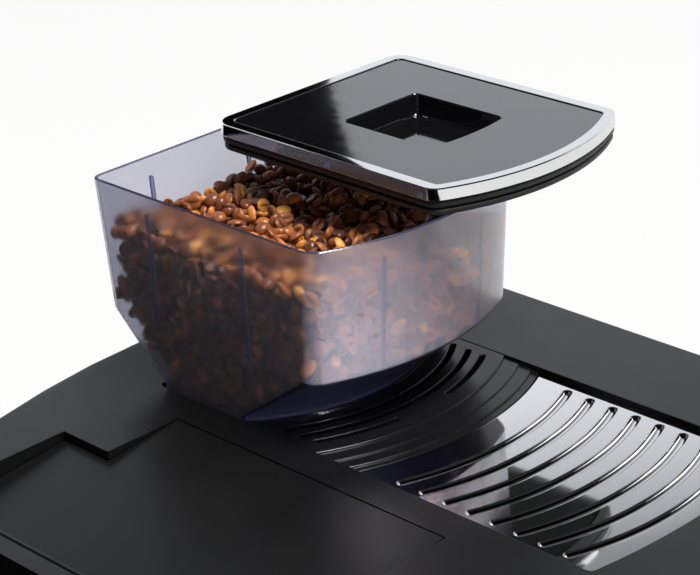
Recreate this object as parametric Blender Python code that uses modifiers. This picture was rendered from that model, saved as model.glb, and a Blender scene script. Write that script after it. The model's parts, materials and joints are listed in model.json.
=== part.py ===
"""A bean to cup coffee machine as separate parts, in metres, with +Z up and its front towards -Y.

The origin is on the floor, under the middle of the machine. The bean hopper stands on the machine
with its lid taken off and laid askew on the rim, which is the position of rest.
"""
import math

import bmesh
import bpy
from mathutils import Matrix, Vector

# Fits that many pieces share
FIT = 0.0003
RUN = 0.0005
SEAM = 0.0008
OVERRUN = 0.004
WELD = 0.00001
SMOOTH_ANGLE = math.radians(35)
SOFT_SEGMENTS = 2
CORNER_STEPS = 3
BOW_STEPS = 10
ROUND_STEPS = 20
FINE_STEPS = 28
PIN_STEPS = 12
SLOT_STEPS = 8
VENT_STEPS = 5

# Casing: the plan has a straight front and sides and a bowed rear. From left to right it holds the
# tank, a strip, the bay and a second strip. The grinder's room lies between deck and top.
LEFT_WIDTH = 0.1369
STRIP_WIDTH = 0.02025
RIGHT_WIDTH = 0.06855
BODY_FRONT = 0.200
BODY_REAR = 0.205
GRINDER_ROOM = 0.142
REAR_BOW = 0.450
FRONT_CORNER = 0.012
REAR_CORNER = 0.010
PANEL = 0.0025
FRONT_SPLIT = 0.014
REAR_SPLIT = 0.0525

# Base plate and feet
FOOT_HEIGHT = 0.010
FOOT_RADIUS = 0.015
FOOT_TOE_RADIUS = 0.0125
FOOT_FROM_SIDE = 0.030
FOOT_FROM_FRONT = 0.030
FOOT_FROM_REAR = 0.062
BASE_THICKNESS = 0.004

# Top cover, with its bay for hopper, vent insert and cup tray
COVER_SKIRT = 0.014
COVER_THICKNESS = 0.003
COVER_EDGE = 0.0015
BAY_WIDTH = 0.1473
BAY_FRONT = 0.1520
BAY_REAR = 0.1545
BAY_DEPTH = 0.008
BAY_FLOOR = 0.003
BAY_CORNER = 0.003
BAY_BOW = 0.400
BAY_CLEARANCE = 0.0004

# Arcs round the foot of the hopper, which all share one centre
ARC_CENTRE = 0.1607
FOOT_ARC = 0.103
RAISED_ARC = 0.1464
STEP_ARC = 0.156
LEDGE_ARC = 0.164
TRAY_ARC = 0.169
ARC_GAP = 0.0006

# Vent insert
INSERT_DROP = 0.0003
STEP_DROP = 0.0015
LEDGE_DROP = 0.0023
LIP_DROP = 0.0033
STEP_RUN = 0.0010
VENT_ARCS = (0.1162, 0.1257, 0.1347)
VENT_STARTS = (0.0035, 0.0030, 0.0205)
VENT_MARGIN = 0.00865
VENT_WIDTH = 0.0035

# Cup tray
TRAY_DROP = 0.003
TRAY_SHEET = 0.0012
GROOVE_COUNT = 8
GROOVE_PITCH = 0.0153
GROOVE_SETBACK = 0.0224
GROOVE_MARGIN = 0.00915
GROOVE_WIDTH = 0.0045
GROOVE_DEPTH = 0.0022

# Bean hopper, given at its foot, at the knee where the walls turn in, and at its rim
HOPPER_WALL = 0.002
HOPPER_FLOOR = 0.0025
HOPPER_KNEE = 0.0372
HOPPER_RISE = 0.1116
HOPPER_FOOT_RISE = 0.002
HOPPER_FOOT_GAP = 0.00065
HOPPER_FOOT_REAR = 0.1525
HOPPER_KNEE_FLARE = 0.0012
HOPPER_KNEE_REAR = 0.1900
HOPPER_KNEE_APEX = 0.0145
HOPPER_KNEE_BOW = 0.156
HOPPER_RIM_FLARE = 0.0016
HOPPER_RIM_REAR = 0.1960
HOPPER_RIM_APEX = 0.0100
HOPPER_RIM_BOW = 0.153
HOPPER_FRONT_CORNER = 0.012
HOPPER_REAR_CORNER = 0.006
HOPPER_FOOT_CORNER = 0.004
RIB_WIDTH = 0.0012
RIB_DEPTH = 0.0010
RIB_LOW = 0.036
RIB_HIGH = 0.101
RIB_SPREAD = 0.036
RIB_PLACES = (0.0810, 0.1524)
NECK_RADIUS = 0.024
NECK_WALL = 0.002
NECK_DROP = 0.020

# Hopper lid, laid on the rim and pushed to the right
LID_TUCK = 0.0008
LID_LENGTH = 0.1830
LID_BOW = 0.148
LID_SHIFT_X = 0.0707
LID_REAR = 0.1760
LID_FRONT_CORNER = 0.010
LID_REAR_CORNER = 0.012
LID_BAND = 0.0067
LID_BORDER = 0.0078
LID_BORDER_FRONT = 0.0065
LID_INSET = 0.0006
LID_PLATE = 0.0025
LID_SOLE = 0.0015
LID_SOLE_WALL = 0.002
GASKET_HEIGHT = 0.0082
GASKET_INSET = 0.0012
GASKET_GROOVE = 0.0022
GASKET_DEPTH = 0.007
GASKET_LIP_SHARES = ((0.16, 0.34), (0.62, 0.90))
GASKET_GROOVE_SHARES = (0.42, 0.54)
POCKET_WIDTH = 0.058
POCKET_LENGTH = 0.067
POCKET_FROM_REAR = 0.056
POCKET_BOW = 0.150
POCKET_CORNER = 0.003
POCKET_DEPTH = 0.0125
POCKET_WALL = 0.0015

# Water tank with its sloping lid, on the left
TANK_LID_FRONT = 0.0738
TANK_LID_REAR = 0.1520
TANK_NOTCH_WIDTH = 0.0484
TANK_NOTCH_REAR = 0.1167
TANK_LID_FALL = 0.0115
TANK_LID_THICKNESS = 0.003
TANK_LID_CORNER = 0.004
TANK_BORDER = 0.0110
TANK_INSET = 0.0040
TANK_WALL = 0.0025
TANK_FLOOR = 0.003
TANK_HEAD = 0.0065
TANK_CORNER = 0.008
TANK_LUG_LENGTH = 0.008
TANK_LUG_INSET = 0.024
TANK_PIN_RADIUS = 0.0012
SHELF_HEIGHT = 0.143
SHELF_THICKNESS = 0.003
VALVE_FROM_SIDE = 0.0715
VALVE_Y = 0.030
VALVE_RADIUS = 0.0085
VALVE_FLANGE = 0.013
VALVE_FLANGE_HEIGHT = 0.003
VALVE_STEM_LOW = 0.006
VALVE_STEM_HIGH = 0.004
SOCKET_WALL = 0.003
SOCKET_HEIGHT = 0.016

# Inner frame wall and grinder deck
WALL_THICKNESS = 0.003
WALL_REAR = 0.150
DECK_GAP = 0.0007
DECK_THICKNESS = 0.003

# Cup bay in the front
NICHE_HALF = 0.118
NICHE_DROP = 0.011
NICHE_BACK = 0.105
NICHE_WALL = 0.0025

# Drip tray, grid, float and grounds container
DRIP_HEIGHT = 0.045
DRIP_WALL = 0.002
DRIP_SIDE_GAP = 0.0012
DRIP_TAIL_LEFT = -0.0465
DRIP_TAIL_RIGHT = 0.0585
DRIP_TAIL_REAR = 0.028
DRIP_TAIL_GAP = 0.0012
DRIP_FRONT_THICKNESS = 0.0027
GRID_THICKNESS = 0.003
GRID_SLOTS = 22
GRID_SLOT_WIDTH = 0.0036
GRID_BORDER = 0.008
FLOAT_RADIUS = 0.0054
FLOAT_FROM_SIDE = 0.020
FLOAT_FROM_REAR = 0.014
GROUNDS_TOP = 0.142
GROUNDS_WALL = 0.002
GROUNDS_GAP = 0.0012
GROUNDS_CORNER = 0.006

# Coffee spout
RAIL_HALF = 0.010
RAIL_DEPTH = 0.003
RAIL_LOW = 0.150
SPOUT_HALF = 0.026
SPOUT_FRONT = 0.168
SPOUT_HEIGHT = 0.036
SPOUT_SOFT = 0.004
NOZZLE_SPREAD = 0.012
NOZZLE_Y = -0.152
NOZZLE_RADIUS = 0.0065
NOZZLE_TIP_RADIUS = 0.0045
NOZZLE_BORE = 0.003
NOZZLE_LENGTH = 0.0205
WATER_NOZZLE_X = -0.075
WATER_NOZZLE_RADIUS = 0.008
WATER_NOZZLE_TIP = 0.0055
WATER_NOZZLE_LENGTH = 0.030

# Control panel on the front
CONTROL_HALF = 0.105
CONTROL_DROP = 0.017
CONTROL_HEIGHT = 0.083
CONTROL_THICKNESS = 0.0025
CONTROL_CORNER = 0.006
DISPLAY_HALF = 0.0375
DISPLAY_HEIGHT = 0.046
DISPLAY_CORNER = 0.003
BUTTON_RADIUS = 0.006
BUTTON_PROUD = 0.0015
BUTTON_TRAVEL = 0.0012
BUTTON_STEM = 0.0025
BUTTON_COLUMN = 0.054
BUTTON_ROW = 0.017
KNOB_COLUMN = 0.084
KNOB_RADIUS = 0.011
KNOB_PROUD = 0.0075
KNOB_SHAFT = 0.003
KNOB_FLUTES = 16
KNOB_FLUTE = 0.0006
BOARD_GAP = 0.0084
BOARD_THICKNESS = 0.0016
BOARD_MARGIN = 0.008
BOARD_POST = 0.0025
SWITCH_SIZE = 0.006

# Service door on the right
DOOR_FRONT = 0.020
DOOR_REAR = 0.140
DOOR_LOW = 0.050
DOOR_HIGH = 0.195
DOOR_PIN = 0.0006
DOOR_LATCH_WIDTH = 0.016
DOOR_LATCH_DEPTH = 0.0012

# Grinder
GRINDER_Y = 0.112
GRINDER_RADIUS = 0.047
GRINDER_WALL = 0.003
GRINDER_TOP_GAP = 0.0010
GRINDER_FLOOR = 0.055
GRINDER_FLOOR_THICKNESS = 0.003
RING_BURR_RADIUS = 0.034
RING_BURR_BORE = 0.023
RING_BURR_HEIGHT = 0.016
CONE_BURR_RADIUS = 0.0205
CONE_BURR_TIP = 0.010
CONE_BURR_HEIGHT = 0.024
BURR_TEETH = 12
BURR_TOOTH = 0.0016
SHAFT_RADIUS = 0.005
GEAR_RADIUS = 0.036
GEAR_TEETH = 30
PINION_RADIUS = 0.012
PINION_TEETH = 10
TOOTH_HEIGHT = 0.0030
TOOTH_SHARES = ((-0.30, -0.5), (-0.14, 0.5), (0.14, 0.5), (0.30, -0.5))
GEAR_HEIGHT = 0.008
GEAR_BACKLASH = 0.0010
GEAR_LEVEL = 0.040
MOTOR_RADIUS = 0.026
MOTOR_SHAFT = 0.003
CHUTE_RADIUS = 0.011
CHUTE_BORE = 0.009

# Brewing group
BREW_SHIFT = 0.0037
BREW_Y = 0.085
BREW_LEFT_REACH = 0.038
BREW_RIGHT_REACH = 0.062
BREW_FRAME_DEPTH = 0.060
BREW_FRAME_WALL = 0.004
CHAMBER_RADIUS = 0.027
CHAMBER_BORE = 0.0205
CHAMBER_LOW = 0.060
CHAMBER_HEIGHT = 0.045
CHAMBER_FLOOR = 0.006
CHAMBER_FOOT_RADIUS = 0.012
PISTON_GAP = 0.0005
PISTON_LIFT = 0.020
PISTON_THICKNESS = 0.010
PISTON_STEM = 0.007
PISTON_PROUD = 0.012
CROSSBAR_LIFT = 0.025
CROSSBAR_DROP = 0.040
CROSSBAR_HEIGHT = 0.010
CROSSBAR_HALF = 0.008
SCREW_REACH = 0.037
SCREW_RADIUS = 0.004
BREW_MOTOR_RADIUS = 0.013
BREW_MOTOR_HEIGHT = 0.014

# Heater, pump, hoses and mains
HEATER_FROM_SIDE = 0.0115
HEATER_WIDTH = 0.050
HEATER_FRONT = -0.085
HEATER_REAR = 0.005
HEATER_HEIGHT = 0.050
HEATER_FINS = 7
HEATER_FIN_DEPTH = 0.012
HEATER_FIN_SHARE = 0.5
PUMP_FROM_SIDE = 0.0715
PUMP_Y = -0.010
PUMP_HEIGHT = 0.045
PUMP_RADIUS = 0.020
PUMP_LENGTH = 0.060
PUMP_NOSE = 0.007
PUMP_NOSE_LENGTH = 0.014
PUMP_FOOT_LENGTH = 0.012
HOSE_RADIUS = 0.003
HOSE_BEND = 0.020
HOSE_REAR = 0.140
HOSE_LEVEL = 0.075
INLET_X = -0.030
INLET_WIDTH = 0.028
INLET_HEIGHT = 0.021
INLET_DEPTH = 0.022
INLET_SOCKET_DEPTH = 0.015
INLET_SOCKET_WALL = 0.003
INLET_PROUD = 0.001
INLET_LEVEL = 0.045
PIN_RADIUS = 0.0015
PIN_SPREAD = 0.006
ROCKER_HALF = 0.006
ROCKER_RADIUS = 0.013
VENT_ROWS = 8
VENT_HALF = 0.060
VENT_LOW = 0.100
VENT_STEP = 0.010
VENT_SLIT = 0.0035

# Sizes that follow from the ones above
BODY_WIDTH = LEFT_WIDTH + STRIP_WIDTH + BAY_WIDTH + RIGHT_WIDTH
HALF_WIDTH = BODY_WIDTH / 2
BAY_MIDDLE = HALF_WIDTH - RIGHT_WIDTH - BAY_WIDTH / 2
CHAMBER_TOP = CHAMBER_LOW + CHAMBER_HEIGHT
PISTON_LOW = CHAMBER_TOP + PISTON_LIFT
CROSSBAR_LOW = PISTON_LOW + CROSSBAR_LIFT
BREW_FRAME_TOP = CROSSBAR_LOW + CROSSBAR_DROP
PISTON_TOP = BREW_FRAME_TOP + PISTON_PROUD
DECK_HEIGHT = BREW_FRAME_TOP + FIT + BREW_MOTOR_HEIGHT + DECK_GAP
BODY_TOP = DECK_HEIGHT + GRINDER_ROOM
CONTROL_HIGH = BODY_TOP - CONTROL_DROP
CONTROL_LOW = CONTROL_HIGH - CONTROL_HEIGHT
NICHE_TOP = CONTROL_LOW - NICHE_DROP
BREW_X = BAY_MIDDLE + BREW_SHIFT
BREW_FRAME_LEFT = BREW_X - BREW_LEFT_REACH
BREW_FRAME_RIGHT = BREW_X + BREW_RIGHT_REACH
SCREW_X = BREW_X + SCREW_REACH
HEATER_RIGHT = HALF_WIDTH - HEATER_FROM_SIDE
HEATER_LEFT = HEATER_RIGHT - HEATER_WIDTH
HOSE_DECK_X = (HEATER_LEFT + HEATER_RIGHT) / 2
PUMP_X = PUMP_FROM_SIDE - HALF_WIDTH
VALVE_X = VALVE_FROM_SIDE - HALF_WIDTH
TANK_LID_RIGHT = HALF_WIDTH - LEFT_WIDTH
TANK_NOTCH_X = TANK_LID_RIGHT + TANK_NOTCH_WIDTH
BASE_LOW = FOOT_HEIGHT + FIT
BASE_TOP = BASE_LOW + BASE_THICKNESS
PANEL_TOP = BODY_TOP - COVER_SKIRT - FIT
BAY_HALF = BAY_WIDTH / 2
VENT_END = BAY_HALF - VENT_MARGIN
GROOVE_REACH = BAY_HALF - GROOVE_MARGIN
HOPPER_FOOT_HALF = BAY_HALF - HOPPER_FOOT_GAP
HOPPER_KNEE_HALF = HOPPER_FOOT_HALF + HOPPER_KNEE_FLARE
HOPPER_RIM_HALF = HOPPER_KNEE_HALF + HOPPER_RIM_FLARE
LID_HALF = HOPPER_RIM_HALF - LID_TUCK
PAN_TOP = BODY_TOP - BAY_DEPTH
PAN_SEAT = PAN_TOP + FIT
PAN_LOW = PAN_TOP - BAY_FLOOR
TRAY_TOP = BODY_TOP - TRAY_DROP
RIM_TOP = BODY_TOP + HOPPER_RISE
LID_LOW = RIM_TOP + FIT
LID_MIDDLE = BAY_MIDDLE + LID_SHIFT_X
LID_APEX = LID_REAR - LID_LENGTH
LID_BAND_LOW = LID_LOW + GASKET_HEIGHT + FIT
LID_TOP = LID_BAND_LOW + LID_BAND
TANK_SEAM = HALF_WIDTH - TANK_BORDER
TANK_EDGE_TOP = BODY_TOP - TANK_LID_FALL
TANK_AXIS_X = -(TANK_SEAM - SEAM - TANK_LID_THICKNESS)
TANK_AXIS_Z = TANK_EDGE_TOP - TANK_LID_THICKNESS
TANK_RIM = TANK_EDGE_TOP - TANK_LID_THICKNESS - TANK_HEAD
TANK_LOW = SHELF_HEIGHT + SHELF_THICKNESS + FIT
WALL_RIGHT = -TANK_LID_RIGHT
WALL_LEFT = WALL_RIGHT - WALL_THICKNESS
NICHE_REAR = -NICHE_BACK
DECK_TOP = DECK_HEIGHT + DECK_THICKNESS
DRIP_LOW = BASE_TOP + FIT
DRIP_TOP = DRIP_LOW + DRIP_HEIGHT
DRIP_HALF = NICHE_HALF - DRIP_SIDE_GAP
DRIP_REAR = NICHE_REAR - NICHE_WALL - SEAM
DRIP_FACE = -BODY_FRONT + DRIP_FRONT_THICKNESS + FIT
GRID_LOW = DRIP_TOP + FIT
GRID_TOP = GRID_LOW + GRID_THICKNESS
FLOAT_X = DRIP_HALF - FLOAT_FROM_SIDE
FLOAT_Y = DRIP_REAR - FLOAT_FROM_REAR
SPOUT_REAR = NICHE_REAR - NICHE_WALL - SEAM
SPOUT_TOP = NICHE_TOP - SEAM
SPOUT_LOW = SPOUT_TOP - SPOUT_HEIGHT
CONTROL_REAR = -BODY_FRONT - FIT
CONTROL_FACE = CONTROL_REAR - CONTROL_THICKNESS
CONTROL_MIDDLE = (CONTROL_LOW + CONTROL_HIGH) / 2
BOARD_FACE = -BODY_FRONT + PANEL + BOARD_GAP
DOOR_AXIS_X = HALF_WIDTH - PANEL / 2
DOOR_AXIS_Y = DOOR_REAR - PANEL / 2
GRINDER_FLOOR_LEVEL = DECK_TOP + GRINDER_FLOOR
GRINDER_TOP = PAN_LOW - GRINDER_TOP_GAP
GEAR_LOW = DECK_TOP + GEAR_LEVEL
GEAR_SPACING = GEAR_RADIUS + PINION_RADIUS
MOTOR_X = BAY_MIDDLE + GEAR_SPACING
MOTOR_TOP = GEAR_LOW - GEAR_BACKLASH
RING_BURR_LOW = GRINDER_FLOOR_LEVEL + GRINDER_FLOOR_THICKNESS + CONE_BURR_HEIGHT - RING_BURR_HEIGHT
CHAMBER_MIDDLE = (BREW_X, BREW_Y)
LINE_LEVEL = INLET_LEVEL + INLET_HEIGHT / 2
SWITCH_X = INLET_X + INLET_WIDTH / 2 + ROCKER_HALF + PANEL


def fresh_collection(name):
    """Makes an empty collection under the scene."""
    group = bpy.data.collections.new(name)
    bpy.context.scene.collection.children.link(group)
    return group


for old in list(bpy.data.objects):
    bpy.data.objects.remove(old, do_unlink=True)
PARTS = fresh_collection("bean_to_cup_coffee_machine")
CUTTERS = fresh_collection("cutters")


def paint(name, colour, roughness, metallic=0.0, transmission=0.0):
    """A plain surface in the part's own colour."""
    surface = bpy.data.materials.new(name)
    surface.use_nodes = True
    surface.diffuse_color = (*colour, 1.0)
    shader = surface.node_tree.nodes["Principled BSDF"]
    shader.inputs["Base Color"].default_value = (*colour, 1.0)
    shader.inputs["Roughness"].default_value = roughness
    shader.inputs["Metallic"].default_value = metallic
    shader.inputs["Transmission Weight"].default_value = transmission
    return surface


SATIN_BLACK = paint("satin_black_plastic", (0.022, 0.023, 0.024), 0.42)
GLOSS_BLACK = paint("gloss_black_plastic", (0.010, 0.010, 0.011), 0.10)
RUBBER = paint("black_rubber", (0.015, 0.015, 0.015), 0.75)
CHROME = paint("chrome", (0.85, 0.86, 0.88), 0.06, 1.0)
STEEL = paint("steel", (0.56, 0.57, 0.58), 0.30, 1.0)
RED = paint("red_plastic", (0.55, 0.03, 0.02), 0.35)
ALUMINIUM = paint("cast_aluminium", (0.72, 0.73, 0.74), 0.45, 1.0)
TINTED = paint("tinted_clear_plastic", (0.42, 0.43, 0.62), 0.08, 0.0, 0.9)
SMOKED = paint("smoked_clear_plastic", (0.20, 0.22, 0.25), 0.10, 0.0, 0.8)
GREY = paint("grey_plastic", (0.20, 0.20, 0.21), 0.50)
WHITE = paint("white_nylon", (0.80, 0.80, 0.77), 0.45)
GREEN = paint("green_circuit_board", (0.02, 0.14, 0.06), 0.40)
GLASS = paint("dark_glass", (0.010, 0.012, 0.016), 0.05)
HOSE = paint("clear_silicone", (0.78, 0.78, 0.74), 0.35)


def place(name, mesh, surface, origin=(0, 0, 0), group=None):
    """Wraps a mesh drawn in machine coordinates as one object with its origin where asked."""
    mesh.transform(Matrix.Translation(-Vector(origin)))
    thing = bpy.data.objects.new(name, mesh)
    thing.location = origin
    (group or PARTS).objects.link(thing)
    if surface:
        mesh.materials.append(surface)
    return thing


def finished(name, shape, surface, origin=(0, 0, 0)):
    """Turns a bmesh into a named part with smooth round faces and sharp edges."""
    bmesh.ops.recalc_face_normals(shape, faces=shape.faces)
    mesh = bpy.data.meshes.new(name)
    shape.to_mesh(mesh)
    shape.free()
    mesh.shade_smooth()
    mesh.set_sharp_from_angle(angle=SMOOTH_ANGLE)
    return place(name, mesh, surface, origin)


def tool(name, shape):
    """Turns a bmesh into a hidden cutter."""
    bmesh.ops.recalc_face_normals(shape, faces=shape.faces)
    mesh = bpy.data.meshes.new(name)
    shape.to_mesh(mesh)
    shape.free()
    return hide(place(name, mesh, None, group=CUTTERS))


def hide(thing):
    """Marks an object as a cutter."""
    thing.hide_render = True
    thing.display_type = "WIRE"
    return thing


def combine(target, other, operation):
    """Adds an exact Boolean to the target."""
    step = target.modifiers.new(other.name, "BOOLEAN")
    step.operation = operation
    step.object = other
    step.solver = "EXACT"
    return target


def cut(target, *others):
    """Takes each cutter away from the target."""
    for other in others:
        combine(target, other, "DIFFERENCE")
    return target


def join(target, *others):
    """Melts each cutter-group shape into the target."""
    for other in others:
        combine(target, other, "UNION")
    return target


def keep(target, other):
    """Keeps only what lies inside the other shape."""
    return combine(target, other, "INTERSECT")


def block(low, high):
    """A box between two corners."""
    shape = bmesh.new()
    bmesh.ops.create_cube(shape, size=1.0)
    size = [b - a for a, b in zip(low, high)]
    middle = [(a + b) / 2 for a, b in zip(low, high)]
    bmesh.ops.scale(shape, verts=shape.verts, vec=size)
    bmesh.ops.translate(shape, verts=shape.verts, vec=middle)
    return shape


def soft_block(low, high, radius, segments=SOFT_SEGMENTS):
    """A box with rounded edges."""
    shape = block(low, high)
    bmesh.ops.bevel(
        shape, geom=shape.edges[:], offset=radius, segments=segments, profile=0.5, affect="EDGES"
    )
    return shape


def prism(outline, low, high, top_round=0.0):
    """An upright prism on a plan outline, with its top edge rounded if asked."""
    shape = bmesh.new()
    ring = [shape.verts.new((x, y, low)) for x, y in outline]
    face = shape.faces.new(ring)
    grown = bmesh.ops.extrude_face_region(shape, geom=[face])["geom"]
    top = [item for item in grown if isinstance(item, bmesh.types.BMVert)]
    bmesh.ops.translate(shape, verts=top, vec=(0, 0, high - low))
    if top_round:
        edges = [item for item in grown if isinstance(item, bmesh.types.BMEdge)]
        bmesh.ops.bevel(
            shape, geom=edges, offset=top_round, segments=SOFT_SEGMENTS, profile=0.5, affect="EDGES"
        )
    return shape


def facing_prism(outline, front, rear):
    """A prism whose outline is drawn as seen from the front, running from one y to the other."""
    shape = prism(outline, front, rear)
    bmesh.ops.transform(shape, verts=shape.verts, matrix=Matrix(((1, 0, 0), (0, 0, 1), (0, 1, 0))).to_4x4())
    return shape


def cylinder(centre, radius, low, high, steps=ROUND_STEPS, tip=None):
    """An upright cylinder or cone."""
    shape = bmesh.new()
    bmesh.ops.create_cone(
        shape, cap_ends=True, segments=steps, radius1=radius,
        radius2=radius if tip is None else tip, depth=high - low,
    )
    bmesh.ops.translate(shape, verts=shape.verts, vec=(centre[0], centre[1], (low + high) / 2))
    return shape


def lying_cylinder(centre, radius, length, axis, steps=ROUND_STEPS):
    """A cylinder along X or Y round a centre."""
    shape = bmesh.new()
    bmesh.ops.create_cone(
        shape, cap_ends=True, segments=steps, radius1=radius, radius2=radius, depth=length
    )
    turn = Matrix.Rotation(math.pi / 2, 4, "Y" if axis == "X" else "X")
    bmesh.ops.transform(shape, verts=shape.verts, matrix=Matrix.Translation(centre) @ turn)
    return shape


def turned(name, profile, centre, surface, steps=ROUND_STEPS, closed=False, group=None):
    """A turned part: a profile of radius and height, screwed round an upright axis."""
    mesh = bpy.data.meshes.new(name)
    points = [(radius, 0, height) for radius, height in profile]
    edges = [(i, i + 1) for i in range(len(points) - 1)]
    if closed:
        edges.append((len(points) - 1, 0))
    mesh.from_pydata(points, edges, [])
    thing = place(name, mesh, surface, group=group)
    thing.location = centre
    spin = thing.modifiers.new("turn", "SCREW")
    spin.steps = steps
    spin.render_steps = steps
    spin.use_merge_vertices = True
    spin.merge_threshold = WELD
    spin.use_smooth_shade = False
    return thing


def loft(rings):
    """Skins rings of equal count from the lowest up, and closes both ends."""
    shape = bmesh.new()
    loops = [[shape.verts.new(point) for point in ring] for ring in rings]
    for lower, upper in zip(loops, loops[1:]):
        for i, vert in enumerate(lower):
            j = (i + 1) % len(lower)
            shape.faces.new((vert, lower[j], upper[j], upper[i]))
    shape.faces.new(loops[0][::-1])
    shape.faces.new(loops[-1])
    return shape


def tube(name, points, radius, surface, group=None, round_steps=2, smooth_steps=6):
    """A tube along a smooth curve through its points, with closed ends."""
    curve = bpy.data.curves.new(name, "CURVE")
    curve.dimensions = "3D"
    curve.bevel_depth = radius
    curve.bevel_resolution = round_steps
    curve.resolution_u = smooth_steps
    curve.use_fill_caps = True
    line = curve.splines.new("BEZIER")
    line.bezier_points.add(len(points) - 1)
    for knot, point in zip(line.bezier_points, points):
        knot.co = point
        knot.handle_left_type = "AUTO"
        knot.handle_right_type = "AUTO"
    line.bezier_points[0].handle_right_type = "VECTOR"
    line.bezier_points[-1].handle_left_type = "VECTOR"
    guide = bpy.data.objects.new(name + "_guide", curve)
    CUTTERS.objects.link(guide)
    bpy.context.view_layer.update()
    mesh = bpy.data.meshes.new_from_object(guide.evaluated_get(bpy.context.evaluated_depsgraph_get()))
    bpy.data.objects.remove(guide, do_unlink=True)
    shape = bmesh.new()
    shape.from_mesh(mesh)
    bmesh.ops.remove_doubles(shape, verts=shape.verts, dist=FIT / ROUND_STEPS)
    if group is CUTTERS:
        return tool(name, shape)
    return finished(name, shape, surface)


def bowed_outline(middle, half, rear, apex, bow, front_round, rear_round):
    """A plan outline with straight rear and sides, and a front edge that bows towards -Y."""
    centre = apex + bow
    side = half - front_round
    drop = math.sqrt((bow - front_round) ** 2 - side ** 2)
    swing = math.asin(side / (bow - front_round))

    def arc(x, y, radius, start, end, steps):
        spread = [start + (end - start) * i / steps for i in range(steps + 1)]
        return [(x + radius * math.sin(a), y - radius * math.cos(a)) for a in spread]

    quarter = math.pi / 2
    points = arc(middle, centre, bow, -swing, swing, BOW_STEPS)
    points += arc(middle + side, centre - drop, front_round, swing, quarter, CORNER_STEPS)[1:]
    inner = half - rear_round
    points += arc(middle + inner, rear - rear_round, rear_round, quarter, 2 * quarter, CORNER_STEPS)
    points += arc(middle - inner, rear - rear_round, rear_round, 2 * quarter, 3 * quarter, CORNER_STEPS)
    points += arc(middle - side, centre - drop, front_round, 3 * quarter, 4 * quarter - swing, CORNER_STEPS)
    return points[:-1]


def plan_outline(inset=0.0):
    """The casing's plan, drawn inwards by an inset."""
    rear_round = max(REAR_CORNER - inset, FIT)
    front_round = max(FRONT_CORNER - inset, FIT)
    points = bowed_outline(
        0, HALF_WIDTH - inset, BODY_FRONT - inset, inset - BODY_REAR, REAR_BOW - inset,
        rear_round, front_round,
    )
    return [(x, -y) for x, y in reversed(points)]


def bay_outline(grow=0.0):
    """The bay's plan, drawn outwards by a margin."""
    return bowed_outline(
        BAY_MIDDLE, BAY_HALF + grow, BAY_REAR + grow, -BAY_FRONT - grow, BAY_BOW + grow,
        BAY_CORNER + grow, BAY_CORNER + grow,
    )


def filleted(corners, radius, steps=CORNER_STEPS):
    """Rounds every corner of an outline of straight edges."""
    points = []
    count = len(corners)
    for i, corner in enumerate(corners):
        here = Vector(corner)
        back = (Vector(corners[i - 1]) - here).normalized()
        ahead = (Vector(corners[(i + 1) % count]) - here).normalized()
        half_angle = back.angle(ahead) / 2
        reach = radius / math.tan(half_angle)
        centre = here + (back + ahead).normalized() * (radius / math.sin(half_angle))
        first = here + back * reach - centre
        last = here + ahead * reach - centre
        turn = first.angle_signed(last)
        for k in range(steps + 1):
            arm = first.copy()
            arm.rotate(Matrix.Rotation(-turn * k / steps, 2))
            points.append(tuple(centre + arm))
    return points


def rectangle(left, right, low, high, radius=0.0):
    """A plan rectangle, rounded if asked."""
    corners = [(left, low), (right, low), (right, high), (left, high)]
    return filleted(corners, radius) if radius else corners


def arc_slot(centre, radius, start, end, width, steps):
    """A curved slot outline between two angles off straight ahead, with round ends."""
    half = width / 2
    angles = [start + (end - start) * i / steps for i in range(steps + 1)]

    def spot(distance, angle):
        return (centre[0] + distance * math.sin(angle), centre[1] - distance * math.cos(angle))

    def cap(angle, first):
        hub = spot(radius, angle)
        turns = [first + math.pi * k / 4 for k in (1, 2, 3)]
        return [(hub[0] + half * math.sin(t), hub[1] - half * math.cos(t)) for t in turns]

    points = [spot(radius + half, a) for a in angles]
    points += cap(end, end)
    points += [spot(radius - half, a) for a in reversed(angles)]
    points += cap(start, start + math.pi)
    return points


def gear_outline(centre, radius, teeth, phase):
    """A spur gear with straight-sided teeth round its pitch radius."""
    pitch = math.tau / teeth
    points = []
    for tooth in range(teeth):
        base = phase + tooth * pitch
        for share, reach in TOOTH_SHARES:
            angle = base + share * pitch
            distance = radius + reach * TOOTH_HEIGHT
            points.append((centre[0] + distance * math.cos(angle), centre[1] + distance * math.sin(angle)))
    return points


def wall_band(name, low, high, front, rear, left, right):
    """The part of the casing's wall that lies inside a box in plan."""
    shell = finished(name, prism(plan_outline(), low, high), SATIN_BLACK)
    cut(shell, tool(name + "_inside", prism(plan_outline(PANEL), low - OVERRUN, high + OVERRUN)))
    keep(shell, tool(name + "_part", block((left, front, low - OVERRUN), (right, rear, high + OVERRUN))))
    return shell


# Base plate and feet
def build_base():
    """The plate that everything stands on."""
    finished("base_plate", prism(plan_outline(PANEL + FIT), BASE_LOW, BASE_TOP), GREY)


def build_feet():
    """Four rubber feet under the base plate."""
    side = HALF_WIDTH - FOOT_FROM_SIDE
    front = -BODY_FRONT + FOOT_FROM_FRONT
    rear = BODY_REAR - FOOT_FROM_REAR
    corners = {
        "foot_front_left": (-side, front),
        "foot_front_right": (side, front),
        "foot_rear_left": (-side, rear),
        "foot_rear_right": (side, rear),
    }
    profile = [
        (0, FOOT_HEIGHT), (FOOT_RADIUS, FOOT_HEIGHT),
        (FOOT_RADIUS, FOOT_HEIGHT / 2), (FOOT_TOE_RADIUS, 0), (0, 0),
    ]
    for name, (x, y) in corners.items():
        turned(name, profile, (x, y, 0), RUBBER)


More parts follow.
